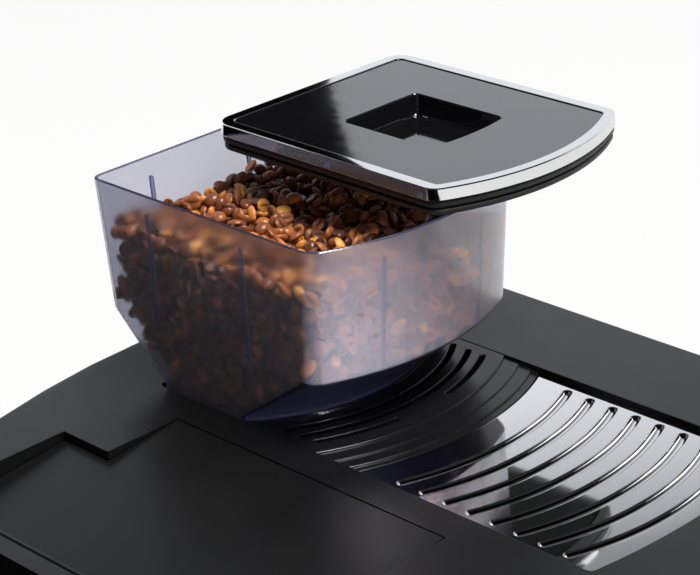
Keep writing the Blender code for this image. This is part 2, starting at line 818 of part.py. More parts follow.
# Casing panels
def build_left_panel():
    """The left side, with the narrow border that runs beside the tank lid."""
    front = -BODY_FRONT + FRONT_SPLIT + FIT
    rear = BODY_REAR - REAR_SPLIT - FIT
    panel = finished(
        "left_side_panel", block((-HALF_WIDTH, front, BASE_LOW), (PANEL - HALF_WIDTH, rear, PANEL_TOP)),
        SATIN_BLACK,
    )
    border = block(
        (-HALF_WIDTH, -TANK_LID_FRONT + FIT, TANK_EDGE_TOP - TANK_LID_THICKNESS),
        (-TANK_SEAM, min(rear, TANK_LID_REAR - FIT), TANK_EDGE_TOP),
    )
    join(panel, tool("left_border", border))


def build_right_panel():
    """The right side, with the opening of the service door and the holes for its hinge pin."""
    front = -BODY_FRONT + FRONT_SPLIT + FIT
    rear = BODY_REAR - REAR_SPLIT - FIT
    panel = finished(
        "right_side_panel", block((HALF_WIDTH - PANEL, front, BASE_LOW), (HALF_WIDTH, rear, PANEL_TOP)),
        SATIN_BLACK,
    )
    opening = block(
        (HALF_WIDTH - PANEL - OVERRUN, DOOR_FRONT, DOOR_LOW),
        (HALF_WIDTH + OVERRUN, DOOR_REAR + RUN, DOOR_HIGH)
    )
    pin_hole = cylinder(
        (DOOR_AXIS_X, DOOR_AXIS_Y), DOOR_PIN + FIT, DOOR_LOW - 2 * PANEL, DOOR_HIGH + 2 * PANEL, PIN_STEPS
    )
    cut(panel, tool("door_opening", opening), tool("door_pin_holes", pin_hole))


def build_door():
    """The service door, with a grip, a rounded hinge edge and two pivots."""
    low = DOOR_LOW + SEAM
    high = DOOR_HIGH - SEAM
    leaf = block((HALF_WIDTH - PANEL, DOOR_FRONT + SEAM, low), (HALF_WIDTH, DOOR_AXIS_Y, high))
    door = finished("service_door", leaf, SATIN_BLACK, (DOOR_AXIS_X, DOOR_AXIS_Y, (low + high) / 2))
    bead = cylinder((DOOR_AXIS_X, DOOR_AXIS_Y), PANEL / 2, low, high, ROUND_STEPS)
    middle = (DOOR_LOW + DOOR_HIGH) / 2
    grip = lying_cylinder(
        (HALF_WIDTH, DOOR_FRONT + SEAM, middle), DOOR_LATCH_WIDTH, 2 * DOOR_LATCH_DEPTH, "X"
    )
    pivot = cylinder(
        (DOOR_AXIS_X, DOOR_AXIS_Y), DOOR_PIN, DOOR_LOW - 2 * PANEL + FIT, DOOR_HIGH + 2 * PANEL - FIT,
        PIN_STEPS,
    )
    join(door, tool("door_bead", bead), tool("door_pivots", pivot))
    cut(door, tool("door_grip", grip))


def build_rear_panel():
    """The bowed rear, with air slits and the cut-outs for mains inlet and switch."""
    split = BODY_REAR - REAR_SPLIT
    panel = wall_band(
        "rear_panel",
        BASE_LOW,
        PANEL_TOP,
        split,
        BODY_REAR + OVERRUN,
        -HALF_WIDTH - OVERRUN,
        HALF_WIDTH + OVERRUN
    )
    near = BODY_REAR - REAR_SPLIT
    far = BODY_REAR + OVERRUN
    for row in range(VENT_ROWS):
        low = VENT_LOW + row * VENT_STEP
        cut(
            panel, tool(f"rear_slit_{row}", block((-VENT_HALF, near, low), (VENT_HALF, far, low + VENT_SLIT)))
        )
    half = INLET_WIDTH / 2 + FIT
    inlet = block(
        (INLET_X - half, near, INLET_LEVEL - FIT), (INLET_X + half, far, INLET_LEVEL + INLET_HEIGHT + FIT)
    )
    gap = ROCKER_HALF + RUN
    rocker = block(
        (SWITCH_X - gap, near, LINE_LEVEL - ROCKER_RADIUS - RUN),
        (SWITCH_X + gap, far, LINE_LEVEL + ROCKER_RADIUS + RUN)
    )
    cut(panel, tool("inlet_hole", inlet), tool("rocker_hole", rocker))


def build_front_panel():
    """The front, with the mouth of the cup bay and the holes behind the controls."""
    split = -BODY_FRONT + FRONT_SPLIT
    panel = wall_band(
        "front_panel",
        BASE_LOW,
        PANEL_TOP,
        -BODY_FRONT - OVERRUN,
        split,
        -HALF_WIDTH - OVERRUN,
        HALF_WIDTH + OVERRUN
    )
    mouth = rectangle(-NICHE_HALF, NICHE_HALF, BASE_TOP, NICHE_TOP)
    cut(panel, tool("cup_bay_mouth", facing_prism(mouth, -BODY_FRONT - OVERRUN, split + OVERRUN)))
    for index, (x, z, radius) in enumerate(control_holes()):
        hole = lying_cylinder((x, -BODY_FRONT, z), radius + FIT, 2 * PANEL + OVERRUN, "Y", ROUND_STEPS // 2)
        cut(panel, tool(f"front_hole_{index}", hole))


# Top cover
def tank_opening(grow=0.0):
    """The L-shaped opening for the tank lid, which runs out over the left side."""
    far = -HALF_WIDTH - OVERRUN - grow
    return [
        (far, -TANK_LID_FRONT - grow), (-TANK_LID_RIGHT + grow, -TANK_LID_FRONT - grow),
        (-TANK_LID_RIGHT + grow, TANK_NOTCH_REAR + grow), (-TANK_NOTCH_X + grow, TANK_NOTCH_REAR + grow),
        (-TANK_NOTCH_X + grow, TANK_LID_REAR + grow), (far, TANK_LID_REAR + grow),
    ]


def build_top_cover():
    """The top: one moulding with a skirt, a pan for the bay and an opening over the tank."""
    low = BODY_TOP - COVER_SKIRT
    cover = finished("top_cover", prism(plan_outline(), low, BODY_TOP, COVER_EDGE), SATIN_BLACK)
    hollow = tool("cover_inside", prism(plan_outline(PANEL), low - OVERRUN, BODY_TOP - COVER_THICKNESS))
    cut(hollow, tool("tank_rim_wall", prism(tank_opening(PANEL), low - 2 * OVERRUN, BODY_TOP + OVERRUN)))
    cut(hollow, tool("bay_pan_wall", prism(bay_outline(PANEL), PAN_LOW, BODY_TOP + OVERRUN)))
    throat = (BAY_MIDDLE, GRINDER_Y)
    cut(
        cover,
        hollow,
        tool("tank_opening", prism(tank_opening(), low - OVERRUN, BODY_TOP + OVERRUN)),
        tool("bay", prism(bay_outline(), PAN_TOP, BODY_TOP + OVERRUN)),
        tool("throat", cylinder(throat, NECK_RADIUS + SEAM, PAN_LOW - OVERRUN, PAN_TOP + OVERRUN)),
    )


def build_vent_insert():
    """The black insert between hopper and cup tray: arcs that step down, with curved vents."""
    top = BODY_TOP - INSERT_DROP
    ramp = STEP_RUN
    profile = [
        (FOOT_ARC + ARC_GAP, top), (RAISED_ARC - ramp, top), (RAISED_ARC, BODY_TOP - STEP_DROP),
        (STEP_ARC - ramp, BODY_TOP - STEP_DROP), (STEP_ARC, BODY_TOP - LEDGE_DROP),
        (LEDGE_ARC - ramp, BODY_TOP - LEDGE_DROP), (LEDGE_ARC, BODY_TOP - LIP_DROP),
        (TRAY_ARC - ARC_GAP, BODY_TOP - LIP_DROP), (TRAY_ARC - ARC_GAP, PAN_SEAT),
        (FOOT_ARC + ARC_GAP, PAN_SEAT),
    ]
    steps = ROUND_STEPS * 4
    insert = turned("vent_insert", profile, (BAY_MIDDLE, ARC_CENTRE, 0), GLOSS_BLACK, steps, True)
    side = BAY_HALF - BAY_CLEARANCE
    window = block(
        (BAY_MIDDLE - side, -BAY_FRONT, PAN_LOW),
        (BAY_MIDDLE + side, ARC_CENTRE - FOOT_ARC / 2, BODY_TOP + OVERRUN),
    )
    keep(insert, tool("insert_window", window))
    for row, (radius, start) in enumerate(zip(VENT_ARCS, VENT_STARTS)):
        first = math.asin(start / radius)
        last = math.asin(VENT_END / radius)
        for hand, (a, b) in enumerate(((first, last), (-last, -first))):
            outline = arc_slot((BAY_MIDDLE, ARC_CENTRE), radius, a, b, VENT_WIDTH, VENT_STEPS)
            cut(insert, tool(f"vent_{row}_{hand}", prism(outline, PAN_LOW, BODY_TOP + OVERRUN)))


def build_cup_tray():
    """The pressed cup tray, with curved grooves that repeat the curve of its rear edge."""
    side = BAY_HALF - BAY_CLEARANCE
    front = -BAY_FRONT + BAY_CLEARANCE

    def plan(inset):
        return bowed_outline(
            BAY_MIDDLE, side - inset, BAY_REAR, front + inset, BAY_BOW,
            BAY_CORNER - BAY_CLEARANCE, BAY_CORNER,
        )

    tray = finished("cup_tray", prism(plan(0), PAN_SEAT, TRAY_TOP), CHROME)
    inside = tool("tray_inside", prism(plan(TRAY_SHEET), PAN_LOW, TRAY_TOP - TRAY_SHEET))
    centre = (BAY_MIDDLE, ARC_CENTRE)
    steps = FINE_STEPS * 3
    cut(
        inside,
        tool("tray_rear_wall", cylinder(centre, TRAY_ARC + TRAY_SHEET, PAN_LOW - OVERRUN, BODY_TOP, steps)),
    )
    rear = tool("tray_rear", cylinder(centre, TRAY_ARC, PAN_LOW, BODY_TOP, steps))
    swing = math.asin(GROOVE_REACH / TRAY_ARC)
    floor = TRAY_TOP - GROOVE_DEPTH
    grooves = []
    for row in range(GROOVE_COUNT):
        hub = (BAY_MIDDLE, ARC_CENTRE - GROOVE_SETBACK - row * GROOVE_PITCH)
        trough = arc_slot(hub, TRAY_ARC, -swing, swing, GROOVE_WIDTH + 2 * TRAY_SHEET, SLOT_STEPS)
        cut(inside, tool(f"trough_{row}", prism(trough, floor - TRAY_SHEET, BODY_TOP)))
        outline = arc_slot(hub, TRAY_ARC, -swing, swing, GROOVE_WIDTH, SLOT_STEPS)
        grooves.append(tool(f"groove_{row}", prism(outline, floor, BODY_TOP)))
    cut(tray, rear, inside, *grooves)


# Bean hopper and its lid
def hopper_section(height, inset=0.0):
    """The hopper's plan at a height above the machine's top, as a ring of points."""
    share = min(max((height - HOPPER_KNEE) / (HOPPER_RISE - HOPPER_KNEE), 0), 1)
    half = HOPPER_KNEE_HALF + share * (HOPPER_RIM_HALF - HOPPER_KNEE_HALF) - inset
    rear = HOPPER_KNEE_REAR + share * (HOPPER_RIM_REAR - HOPPER_KNEE_REAR) - inset
    apex = HOPPER_KNEE_APEX + share * (HOPPER_RIM_APEX - HOPPER_KNEE_APEX) + inset
    bow = HOPPER_KNEE_BOW + share * (HOPPER_RIM_BOW - HOPPER_KNEE_BOW) - inset
    outline = bowed_outline(
        BAY_MIDDLE, half, rear, apex, bow, HOPPER_FRONT_CORNER - inset, HOPPER_REAR_CORNER - inset
    )
    return [(x, y, BODY_TOP + height) for x, y in outline]


def hopper_foot(height, inset=0.0):
    """The hopper's narrow foot, whose front follows the arcs of the vent insert."""
    outline = bowed_outline(
        BAY_MIDDLE, HOPPER_FOOT_HALF - inset, HOPPER_FOOT_REAR - inset, ARC_CENTRE - FOOT_ARC + inset,
        FOOT_ARC - inset, HOPPER_FOOT_CORNER - inset, HOPPER_FOOT_CORNER - inset,
    )
    return [(x, y, BODY_TOP + height) for x, y in outline]


def hopper_ribs():
    """Thin upright ribs on the walls: the line of each one at its lower and upper end."""
    lines = []
    for height in (RIB_LOW, RIB_HIGH):
        ring = hopper_section(height)
        left = min(x for x, y, z in ring) + HOPPER_WALL
        right = max(x for x, y, z in ring) - HOPPER_WALL
        rear = max(y for x, y, z in ring) - HOPPER_WALL
        apex = min(y for x, y, z in ring) + HOPPER_WALL
        bow = HOPPER_KNEE_BOW - HOPPER_WALL
        sag = bow - math.sqrt(bow ** 2 - RIB_SPREAD ** 2)
        spots = [(wall, y) for wall in (left, right) for y in RIB_PLACES]
        spots += [(BAY_MIDDLE + side * RIB_SPREAD, y) for side in (-1, 1) for y in (rear, apex + sag)]
        lines.append([(x, y, BODY_TOP + height) for x, y in spots])
    return zip(*lines)


def build_hopper():
    """The clear hopper: lofted walls, a sloping back and nose, ribs and an outlet neck."""
    seat = -BAY_DEPTH + FIT
    outer = loft([
        hopper_foot(seat), hopper_foot(HOPPER_FOOT_RISE), hopper_section(HOPPER_KNEE),
        hopper_section(HOPPER_RISE),
    ])
    hopper = finished("bean_hopper", outer, TINTED, (BAY_MIDDLE, GRINDER_Y, BODY_TOP))
    wall = HOPPER_WALL
    inner = loft([
        hopper_foot(seat + HOPPER_FLOOR, wall), hopper_foot(HOPPER_FOOT_RISE, wall),
        hopper_section(HOPPER_KNEE, wall), hopper_section(HOPPER_RISE, wall),
    ])
    for vert in inner.verts:
        if vert.co.z > BODY_TOP + HOPPER_RISE - FIT:
            vert.co.z += OVERRUN
    neck = cylinder((BAY_MIDDLE, GRINDER_Y), NECK_RADIUS, BODY_TOP - NECK_DROP, PAN_TOP + HOPPER_FLOOR)
    bore = cylinder(
        (BAY_MIDDLE, GRINDER_Y),
        NECK_RADIUS - NECK_WALL,
        BODY_TOP - NECK_DROP - OVERRUN,
        BODY_TOP + HOPPER_FOOT_RISE
    )
    cut(hopper, tool("hopper_inside", inner))
    join(hopper, tool("hopper_neck", neck))
    cut(hopper, tool("hopper_bore", bore))
    half = RIB_WIDTH / 2
    deep = RIB_DEPTH
    for index, (low, high) in enumerate(hopper_ribs()):
        corners = ((-half, -deep), (half, -deep), (half, deep), (-half, deep))
        if index < 2 * len(RIB_PLACES):
            corners = ((-deep, -half), (deep, -half), (deep, half), (-deep, half))
        rib = loft([[(x + a, y + b, z) for a, b in corners] for x, y, z in (low, high)])
        join(hopper, tool(f"hopper_rib_{index}", rib))


def lid_outline(inset, front_inset=None):
    """The lid's plan, drawn inwards by an inset."""
    front = inset if front_inset is None else front_inset
    return bowed_outline(
        LID_MIDDLE, LID_HALF - inset, LID_REAR - inset, LID_APEX + front, LID_BOW - front,
        max(LID_FRONT_CORNER - inset, FIT * 4), max(LID_REAR_CORNER - inset, FIT * 4),
    )


def raised(outline, height):
    """Lifts a plan outline to a height."""
    return [(x, y, height) for x, y in outline]


def build_lid():
    """The lid in four pieces: sole, rubber gasket, gloss plate with a finger pocket, chrome rim."""
    border = lid_outline(LID_BORDER, LID_BORDER_FRONT)
    rim = finished("hopper_lid_rim", prism(lid_outline(0), LID_BAND_LOW, LID_TOP, LID_INSET), CHROME)
    cut(rim, tool("lid_rim_opening", prism(border, LID_BAND_LOW - OVERRUN, LID_TOP + OVERRUN)))

    groove = GASKET_INSET + GASKET_GROOVE
    lower, upper = GASKET_LIP_SHARES
    levels = [(0, GASKET_INSET + FIT)]
    levels += [(share, GASKET_INSET) for share in lower]
    levels += [(share, groove) for share in GASKET_GROOVE_SHARES]
    levels += [(share, GASKET_INSET) for share in upper]
    levels.append((1, GASKET_INSET + FIT))
    rings = [raised(lid_outline(inset), LID_LOW + share * GASKET_HEIGHT) for share, inset in levels]
    gasket = finished("hopper_lid_gasket", loft(rings), RUBBER)
    inner = lid_outline(GASKET_INSET + GASKET_DEPTH)
    cut(gasket, tool("gasket_inside", prism(inner, LID_LOW - OVERRUN, LID_TOP)))

    sole_inset = GASKET_INSET + GASKET_DEPTH + FIT
    sole = finished(
        "hopper_lid_sole", prism(lid_outline(sole_inset), LID_LOW, LID_LOW + GASKET_HEIGHT), SATIN_BLACK
    )
    sole_space = lid_outline(sole_inset + LID_SOLE_WALL)
    cut(sole, tool("sole_inside", prism(sole_space, LID_LOW + LID_SOLE, LID_TOP)))

    plate_inset = LID_BORDER + FIT
    plate_top = LID_TOP - LID_INSET
    edge = lid_outline(plate_inset, LID_BORDER_FRONT + FIT)
    plate = finished("hopper_lid_plate", prism(edge, plate_top - LID_PLATE, plate_top), GLOSS_BLACK)

    def pocket(grow):
        rear = LID_REAR - POCKET_FROM_REAR + grow
        return bowed_outline(
            LID_MIDDLE, POCKET_WIDTH / 2 + grow, rear, rear - POCKET_LENGTH - 2 * grow, POCKET_BOW,
            POCKET_CORNER + grow, POCKET_CORNER + grow,
        )

    well = prism(pocket(POCKET_WALL), plate_top - POCKET_DEPTH, plate_top - LID_PLATE / 2)
    space = prism(pocket(0), plate_top - POCKET_DEPTH + POCKET_WALL, LID_TOP + OVERRUN)
    join(plate, tool("pocket_wall", well))
    cut(plate, tool("pocket", space))


# Water tank and its lid
def tank_plan(inset):
    """The tank's L-shaped plan, drawn inwards by an inset from the lid's opening."""
    left = -TANK_SEAM + inset
    right = -TANK_LID_RIGHT - inset
    front = -TANK_LID_FRONT + inset
    corners = [
        (left, front), (right, front), (right, TANK_NOTCH_REAR - inset),
        (-TANK_NOTCH_X - inset, TANK_NOTCH_REAR - inset), (-TANK_NOTCH_X - inset, TANK_LID_REAR - inset),
        (left, TANK_LID_REAR - inset),
    ]
    return corners


def lug_places():
    """Where the tank's two hinge lugs stand, along Y."""
    first = -TANK_LID_FRONT + TANK_LUG_INSET
    last = TANK_LID_REAR - TANK_LUG_INSET - TANK_LUG_LENGTH
    return first, last


def build_tank():
    """The tank, its two hinge lugs and the hole for its valve."""
    body = prism(filleted(tank_plan(TANK_INSET), TANK_CORNER), TANK_LOW, TANK_RIM)
    tank = finished("water_tank", body, SMOKED, (VALVE_X, VALVE_Y, TANK_LOW))
    space = prism(
        filleted(tank_plan(TANK_INSET + TANK_WALL), TANK_CORNER - TANK_WALL), TANK_LOW + TANK_FLOOR, BODY_TOP
    )
    cut(tank, tool("tank_inside", space))
    radius = TANK_LID_THICKNESS - FIT
    for index, start in enumerate(lug_places()):
        end = start + TANK_LUG_LENGTH
        middle = (start + end) / 2
        eye = lying_cylinder((TANK_AXIS_X, middle, TANK_AXIS_Z), radius, TANK_LUG_LENGTH, "Y")
        stem = block(
            (TANK_AXIS_X - TANK_WALL / 2, start, TANK_RIM - TANK_LUG_LENGTH),
            (TANK_AXIS_X + TANK_WALL / 2, end, TANK_AXIS_Z),
        )
        join(tank, tool(f"lug_stem_{index}", stem), tool(f"lug_eye_{index}", eye))
    pin_bore = lying_cylinder(
        (TANK_AXIS_X, (TANK_LID_REAR - TANK_LID_FRONT) / 2, TANK_AXIS_Z),
        TANK_PIN_RADIUS + FIT,
        BODY_WIDTH,
        "Y",
        PIN_STEPS,
    )
    valve_hole = cylinder(
        (VALVE_X, VALVE_Y), VALVE_RADIUS + FIT, TANK_LOW - OVERRUN, TANK_LOW + TANK_FLOOR + OVERRUN
    )
    cut(tank, tool("tank_pin_bore", pin_bore), tool("valve_hole", valve_hole))


def build_tank_lid():
    """The sloping L-shaped tank lid, with a rolled hinge edge along its left side."""
    edge = TANK_SEAM - SEAM
    corners = tank_plan(SEAM)
    corners = [(max(x, TANK_AXIS_X), y) for x, y in corners]
    thick = TANK_LID_THICKNESS
    plate = prism(
        filleted(corners, TANK_LID_CORNER / 4), TANK_EDGE_TOP - thick, TANK_EDGE_TOP, COVER_EDGE / 3
    )
    fall = TANK_LID_FALL / (-TANK_LID_RIGHT - SEAM - TANK_AXIS_X)
    for vert in plate.verts:
        vert.co.z += (vert.co.x - TANK_AXIS_X) * fall
    start = -TANK_LID_FRONT + SEAM
    end = TANK_LID_REAR - SEAM
    middle = (start + end) / 2
    lid = finished("tank_lid", plate, SATIN_BLACK, (TANK_AXIS_X, middle, TANK_AXIS_Z))
    bead = lying_cylinder(
        (TANK_AXIS_X, middle, TANK_AXIS_Z), edge + TANK_AXIS_X, end - start, "Y", FINE_STEPS
    )
    join(lid, tool("lid_bead", bead))
    bore = lying_cylinder(
        (TANK_AXIS_X, middle, TANK_AXIS_Z), TANK_PIN_RADIUS + FIT, BODY_WIDTH, "Y", PIN_STEPS
    )
    cut(lid, tool("lid_pin_bore", bore))
    reach = thick + RUN
    for index, low in enumerate(lug_places()):
        gap = block(
            (TANK_AXIS_X - reach - RUN, low - RUN, TANK_AXIS_Z - reach - thick),
            (TANK_AXIS_X + reach, low + TANK_LUG_LENGTH + RUN, TANK_AXIS_Z + reach + thick),
        )
        cut(lid, tool(f"lid_gap_{index}", gap))
    pin = lying_cylinder(
        (TANK_AXIS_X, middle, TANK_AXIS_Z), TANK_PIN_RADIUS, end - start - 2 * TANK_LID_CORNER, "Y", PIN_STEPS
    )
    finished("tank_lid_pin", pin, STEEL)


def build_tank_valve():
    """The valve that stands in the tank's floor and drops into the socket of the inner frame."""
    floor = TANK_LOW + TANK_FLOOR + FIT
    top = floor + VALVE_FLANGE_HEIGHT
    profile = [
        (0, top + VALVE_STEM_HIGH), (VALVE_RADIUS / 2, top + VALVE_STEM_HIGH), (VALVE_RADIUS, top),
        (VALVE_FLANGE, top), (VALVE_FLANGE, floor), (VALVE_RADIUS, floor),
        (VALVE_RADIUS, TANK_LOW - VALVE_STEM_LOW), (0, TANK_LOW - VALVE_STEM_LOW),
    ]
    turned("tank_valve", profile, (VALVE_X, VALVE_Y, 0), WHITE)


# Inner frame
def build_frame():
    """The upright wall with the tank's shelf and valve socket, and the deck beside it."""
    near = NICHE_REAR + FIT
    wall_block = block((WALL_LEFT, near, BASE_TOP + FIT), (WALL_RIGHT, WALL_REAR, PANEL_TOP))
    frame = finished("inner_frame", wall_block, GREY)
    left = -HALF_WIDTH + PANEL + FIT
    shelf = block(
        (left, near, SHELF_HEIGHT),
        (WALL_RIGHT - WALL_THICKNESS / 2, WALL_REAR, SHELF_HEIGHT + SHELF_THICKNESS),
    )
    valve = (VALVE_X, VALVE_Y)
    bore = VALVE_RADIUS + RUN
    low = SHELF_HEIGHT - SOCKET_HEIGHT
    socket = cylinder(valve, bore + SOCKET_WALL, low, SHELF_HEIGHT + SHELF_THICKNESS / 2)
    hole = cylinder(valve, bore, low + SOCKET_WALL, TANK_LOW + OVERRUN)
    hose = lying_cylinder((WALL_LEFT, HOSE_REAR, HOSE_LEVEL), HOSE_RADIUS + SEAM, 4 * WALL_THICKNESS, "X")
    join(frame, tool("tank_shelf", shelf), tool("valve_socket", socket))
    cut(frame, tool("socket_bore", hole), tool("wall_hose_hole", hose))
    right = HALF_WIDTH - PANEL - FIT
    deck_block = block((WALL_RIGHT + FIT, near, DECK_HEIGHT), (right, WALL_REAR, DECK_TOP))
    deck = finished("grinder_deck", deck_block, GREY)
    low = DECK_HEIGHT - OVERRUN
    high = DECK_TOP + OVERRUN
    chute = cylinder((BREW_X, chute_y()), CHUTE_RADIUS + SEAM, low, high)
    hose_hole = cylinder((HOSE_DECK_X, HOSE_REAR), HOSE_RADIUS + SEAM, low, high)
    cut(deck, tool("deck_chute_hole", chute), tool("deck_hose_hole", hose_hole))


def chute_y():
    """The line of the chute, just ahead of the grinder and of the brewing frame."""
    return min(GRINDER_Y - GRINDER_RADIUS, BREW_Y - BREW_FRAME_DEPTH / 2) - CHUTE_RADIUS


# Cup bay, spout and drip tray
def build_cup_bay():
    """The liner of the cup bay: back with the spout's rail, cheeks and ceiling."""
    front = -BODY_FRONT + PANEL + FIT
    rear = NICHE_REAR
    outer = block(
        (-NICHE_HALF - NICHE_WALL, front, BASE_TOP + FIT),
        (NICHE_HALF + NICHE_WALL, rear, NICHE_TOP + NICHE_WALL)
    )
    liner = finished("cup_bay_liner", outer, SATIN_BLACK)
    space = block(
        (-NICHE_HALF, front - OVERRUN, BASE_TOP - OVERRUN), (NICHE_HALF, rear - NICHE_WALL, NICHE_TOP)
    )
    left = DRIP_TAIL_LEFT - DRIP_TAIL_GAP
    right = DRIP_TAIL_RIGHT + DRIP_TAIL_GAP
    door = block(
        (left, rear - 2 * NICHE_WALL, BASE_TOP - OVERRUN), (right, rear + OVERRUN, GROUNDS_TOP + GROUNDS_GAP)
    )
    rail = block(
        (-RAIL_HALF, SPOUT_REAR - RAIL_DEPTH, RAIL_LOW),
        (RAIL_HALF, rear - NICHE_WALL / 2, NICHE_TOP + NICHE_WALL / 2)
    )
    cut(liner, tool("cup_space", space), tool("grounds_door", door))
    join(liner, tool("spout_rail", rail))


def build_spout():
    """The carriage that slides on the rail, and its two nozzles."""
    body = soft_block((-SPOUT_HALF, -SPOUT_FRONT, SPOUT_LOW), (SPOUT_HALF, SPOUT_REAR, SPOUT_TOP), SPOUT_SOFT)
    carriage = finished("spout_carriage", body, SATIN_BLACK)
    side = RAIL_HALF + FIT
    channel = block(
        (-side, SPOUT_REAR - RAIL_DEPTH - FIT, SPOUT_LOW - OVERRUN),
        (side, SPOUT_REAR + OVERRUN, SPOUT_TOP + OVERRUN)
    )
    cut(carriage, tool("rail_channel", channel))
    for name, side in (("coffee_nozzle_left", -1), ("coffee_nozzle_right", 1)):
        top = SPOUT_LOW - FIT
        low = top - NOZZLE_LENGTH
        profile = [
            (NOZZLE_BORE, top), (NOZZLE_RADIUS, top), (NOZZLE_RADIUS, (top + low) / 2),
            (NOZZLE_TIP_RADIUS, low), (NOZZLE_BORE, low),
        ]
        turned(name, profile, (side * NOZZLE_SPREAD, NOZZLE_Y, 0), CHROME, ROUND_STEPS, True)


def build_water_nozzle():
    """The hot water nozzle under the ceiling of the cup bay."""
    top = NICHE_TOP - FIT
    low = top - WATER_NOZZLE_LENGTH
    profile = [
        (NOZZLE_BORE, top), (WATER_NOZZLE_RADIUS, top), (WATER_NOZZLE_RADIUS, (top + low) / 2),
        (WATER_NOZZLE_TIP, low), (NOZZLE_BORE, low),
    ]
    turned("hot_water_nozzle", profile, (WATER_NOZZLE_X, NOZZLE_Y, 0), CHROME, ROUND_STEPS, True)


def drip_plan(inset):
    """The drip tray's T-shaped plan: wide under the cups, narrow under the grounds container."""
    side = DRIP_HALF - inset
    left = DRIP_TAIL_LEFT + inset
    right = DRIP_TAIL_RIGHT - inset
    front = DRIP_FACE + inset
    step = DRIP_REAR - inset
    rear = DRIP_TAIL_REAR - inset
    return [
        (-side, front), (side, front), (side, step), (right, step),
        (right, rear), (left, rear), (left, step), (-side, step),
    ]


def build_drip_tray():
    """The drip tray with its front, the slotted grid, the float and the grounds container."""
    tray = finished("drip_tray", prism(drip_plan(0), DRIP_LOW, DRIP_TOP), SATIN_BLACK)
    low = DRIP_LOW + DRIP_WALL
    cut(tray, tool("drip_inside", prism(drip_plan(DRIP_WALL), low, DRIP_TOP + OVERRUN)))
    front = block(
        (-DRIP_HALF, -BODY_FRONT, BASE_TOP + SEAM), (DRIP_HALF, DRIP_FACE - FIT, GRID_TOP)
    )
    finished("drip_tray_front", front, CHROME)

    grid_plate = block((-DRIP_HALF, DRIP_FACE, GRID_LOW), (DRIP_HALF, DRIP_REAR, GRID_TOP))
    grid = finished("drip_grid", grid_plate, STEEL)
    span = 2 * (DRIP_HALF - GRID_BORDER)
    step = span / GRID_SLOTS
    for index in range(GRID_SLOTS):
        x = -span / 2 + index * step + step / 2
        rear = DRIP_REAR - GRID_BORDER
        if abs(x - FLOAT_X) < FLOAT_RADIUS + step:
            rear = FLOAT_Y - FLOAT_RADIUS - GRID_BORDER / 2
        half = GRID_SLOT_WIDTH / 2
        slot = block((x - half, DRIP_FACE + GRID_BORDER, DRIP_LOW), (x + half, rear, BODY_TOP))
        cut(grid, tool(f"grid_slot_{index}", slot))
    hole = cylinder((FLOAT_X, FLOAT_Y), FLOAT_RADIUS + RUN, DRIP_LOW, GRID_TOP + OVERRUN)
    cut(grid, tool("float_hole", hole))

    floor = low + FIT
    profile = [
        (0, GRID_TOP), (FLOAT_RADIUS / 2, GRID_TOP), (FLOAT_RADIUS, GRID_TOP - FLOAT_RADIUS / 2),
        (FLOAT_RADIUS, floor), (0, floor),
    ]
    turned("level_float", profile, (FLOAT_X, FLOAT_Y, 0), RED)

    left = DRIP_TAIL_LEFT + DRIP_WALL + GROUNDS_GAP
    right = DRIP_TAIL_RIGHT - DRIP_WALL - GROUNDS_GAP
    near = NICHE_REAR + FIT
    far = DRIP_TAIL_REAR - DRIP_WALL - GROUNDS_GAP
    body = prism(rectangle(left, right, near, far, GROUNDS_CORNER), floor, GROUNDS_TOP)
    container = finished("grounds_container", body, GREY)
    wall = GROUNDS_WALL
    space = rectangle(left + wall, right - wall, near + wall, far - wall, GROUNDS_CORNER - wall)
    cut(container, tool("grounds_space", prism(space, floor + wall, GROUNDS_TOP + OVERRUN)))


# Controls
def button_places():
    """Name and place of each button, as seen from the front."""
    rows = (CONTROL_MIDDLE + BUTTON_ROW, CONTROL_MIDDLE - BUTTON_ROW)
    places = [(side * BUTTON_COLUMN, z) for side in (-1, 1) for z in rows]
    names = [f"drink_button_{number}" for number in range(1, len(places) + 1)]
    return list(zip(names, places))


def control_holes():
    """Holes in the front panel for the button stems and the knob's shaft."""
    holes = [(x, z, BUTTON_STEM) for name, (x, z) in button_places()]
    return holes + [(KNOB_COLUMN, CONTROL_MIDDLE, KNOB_SHAFT)]


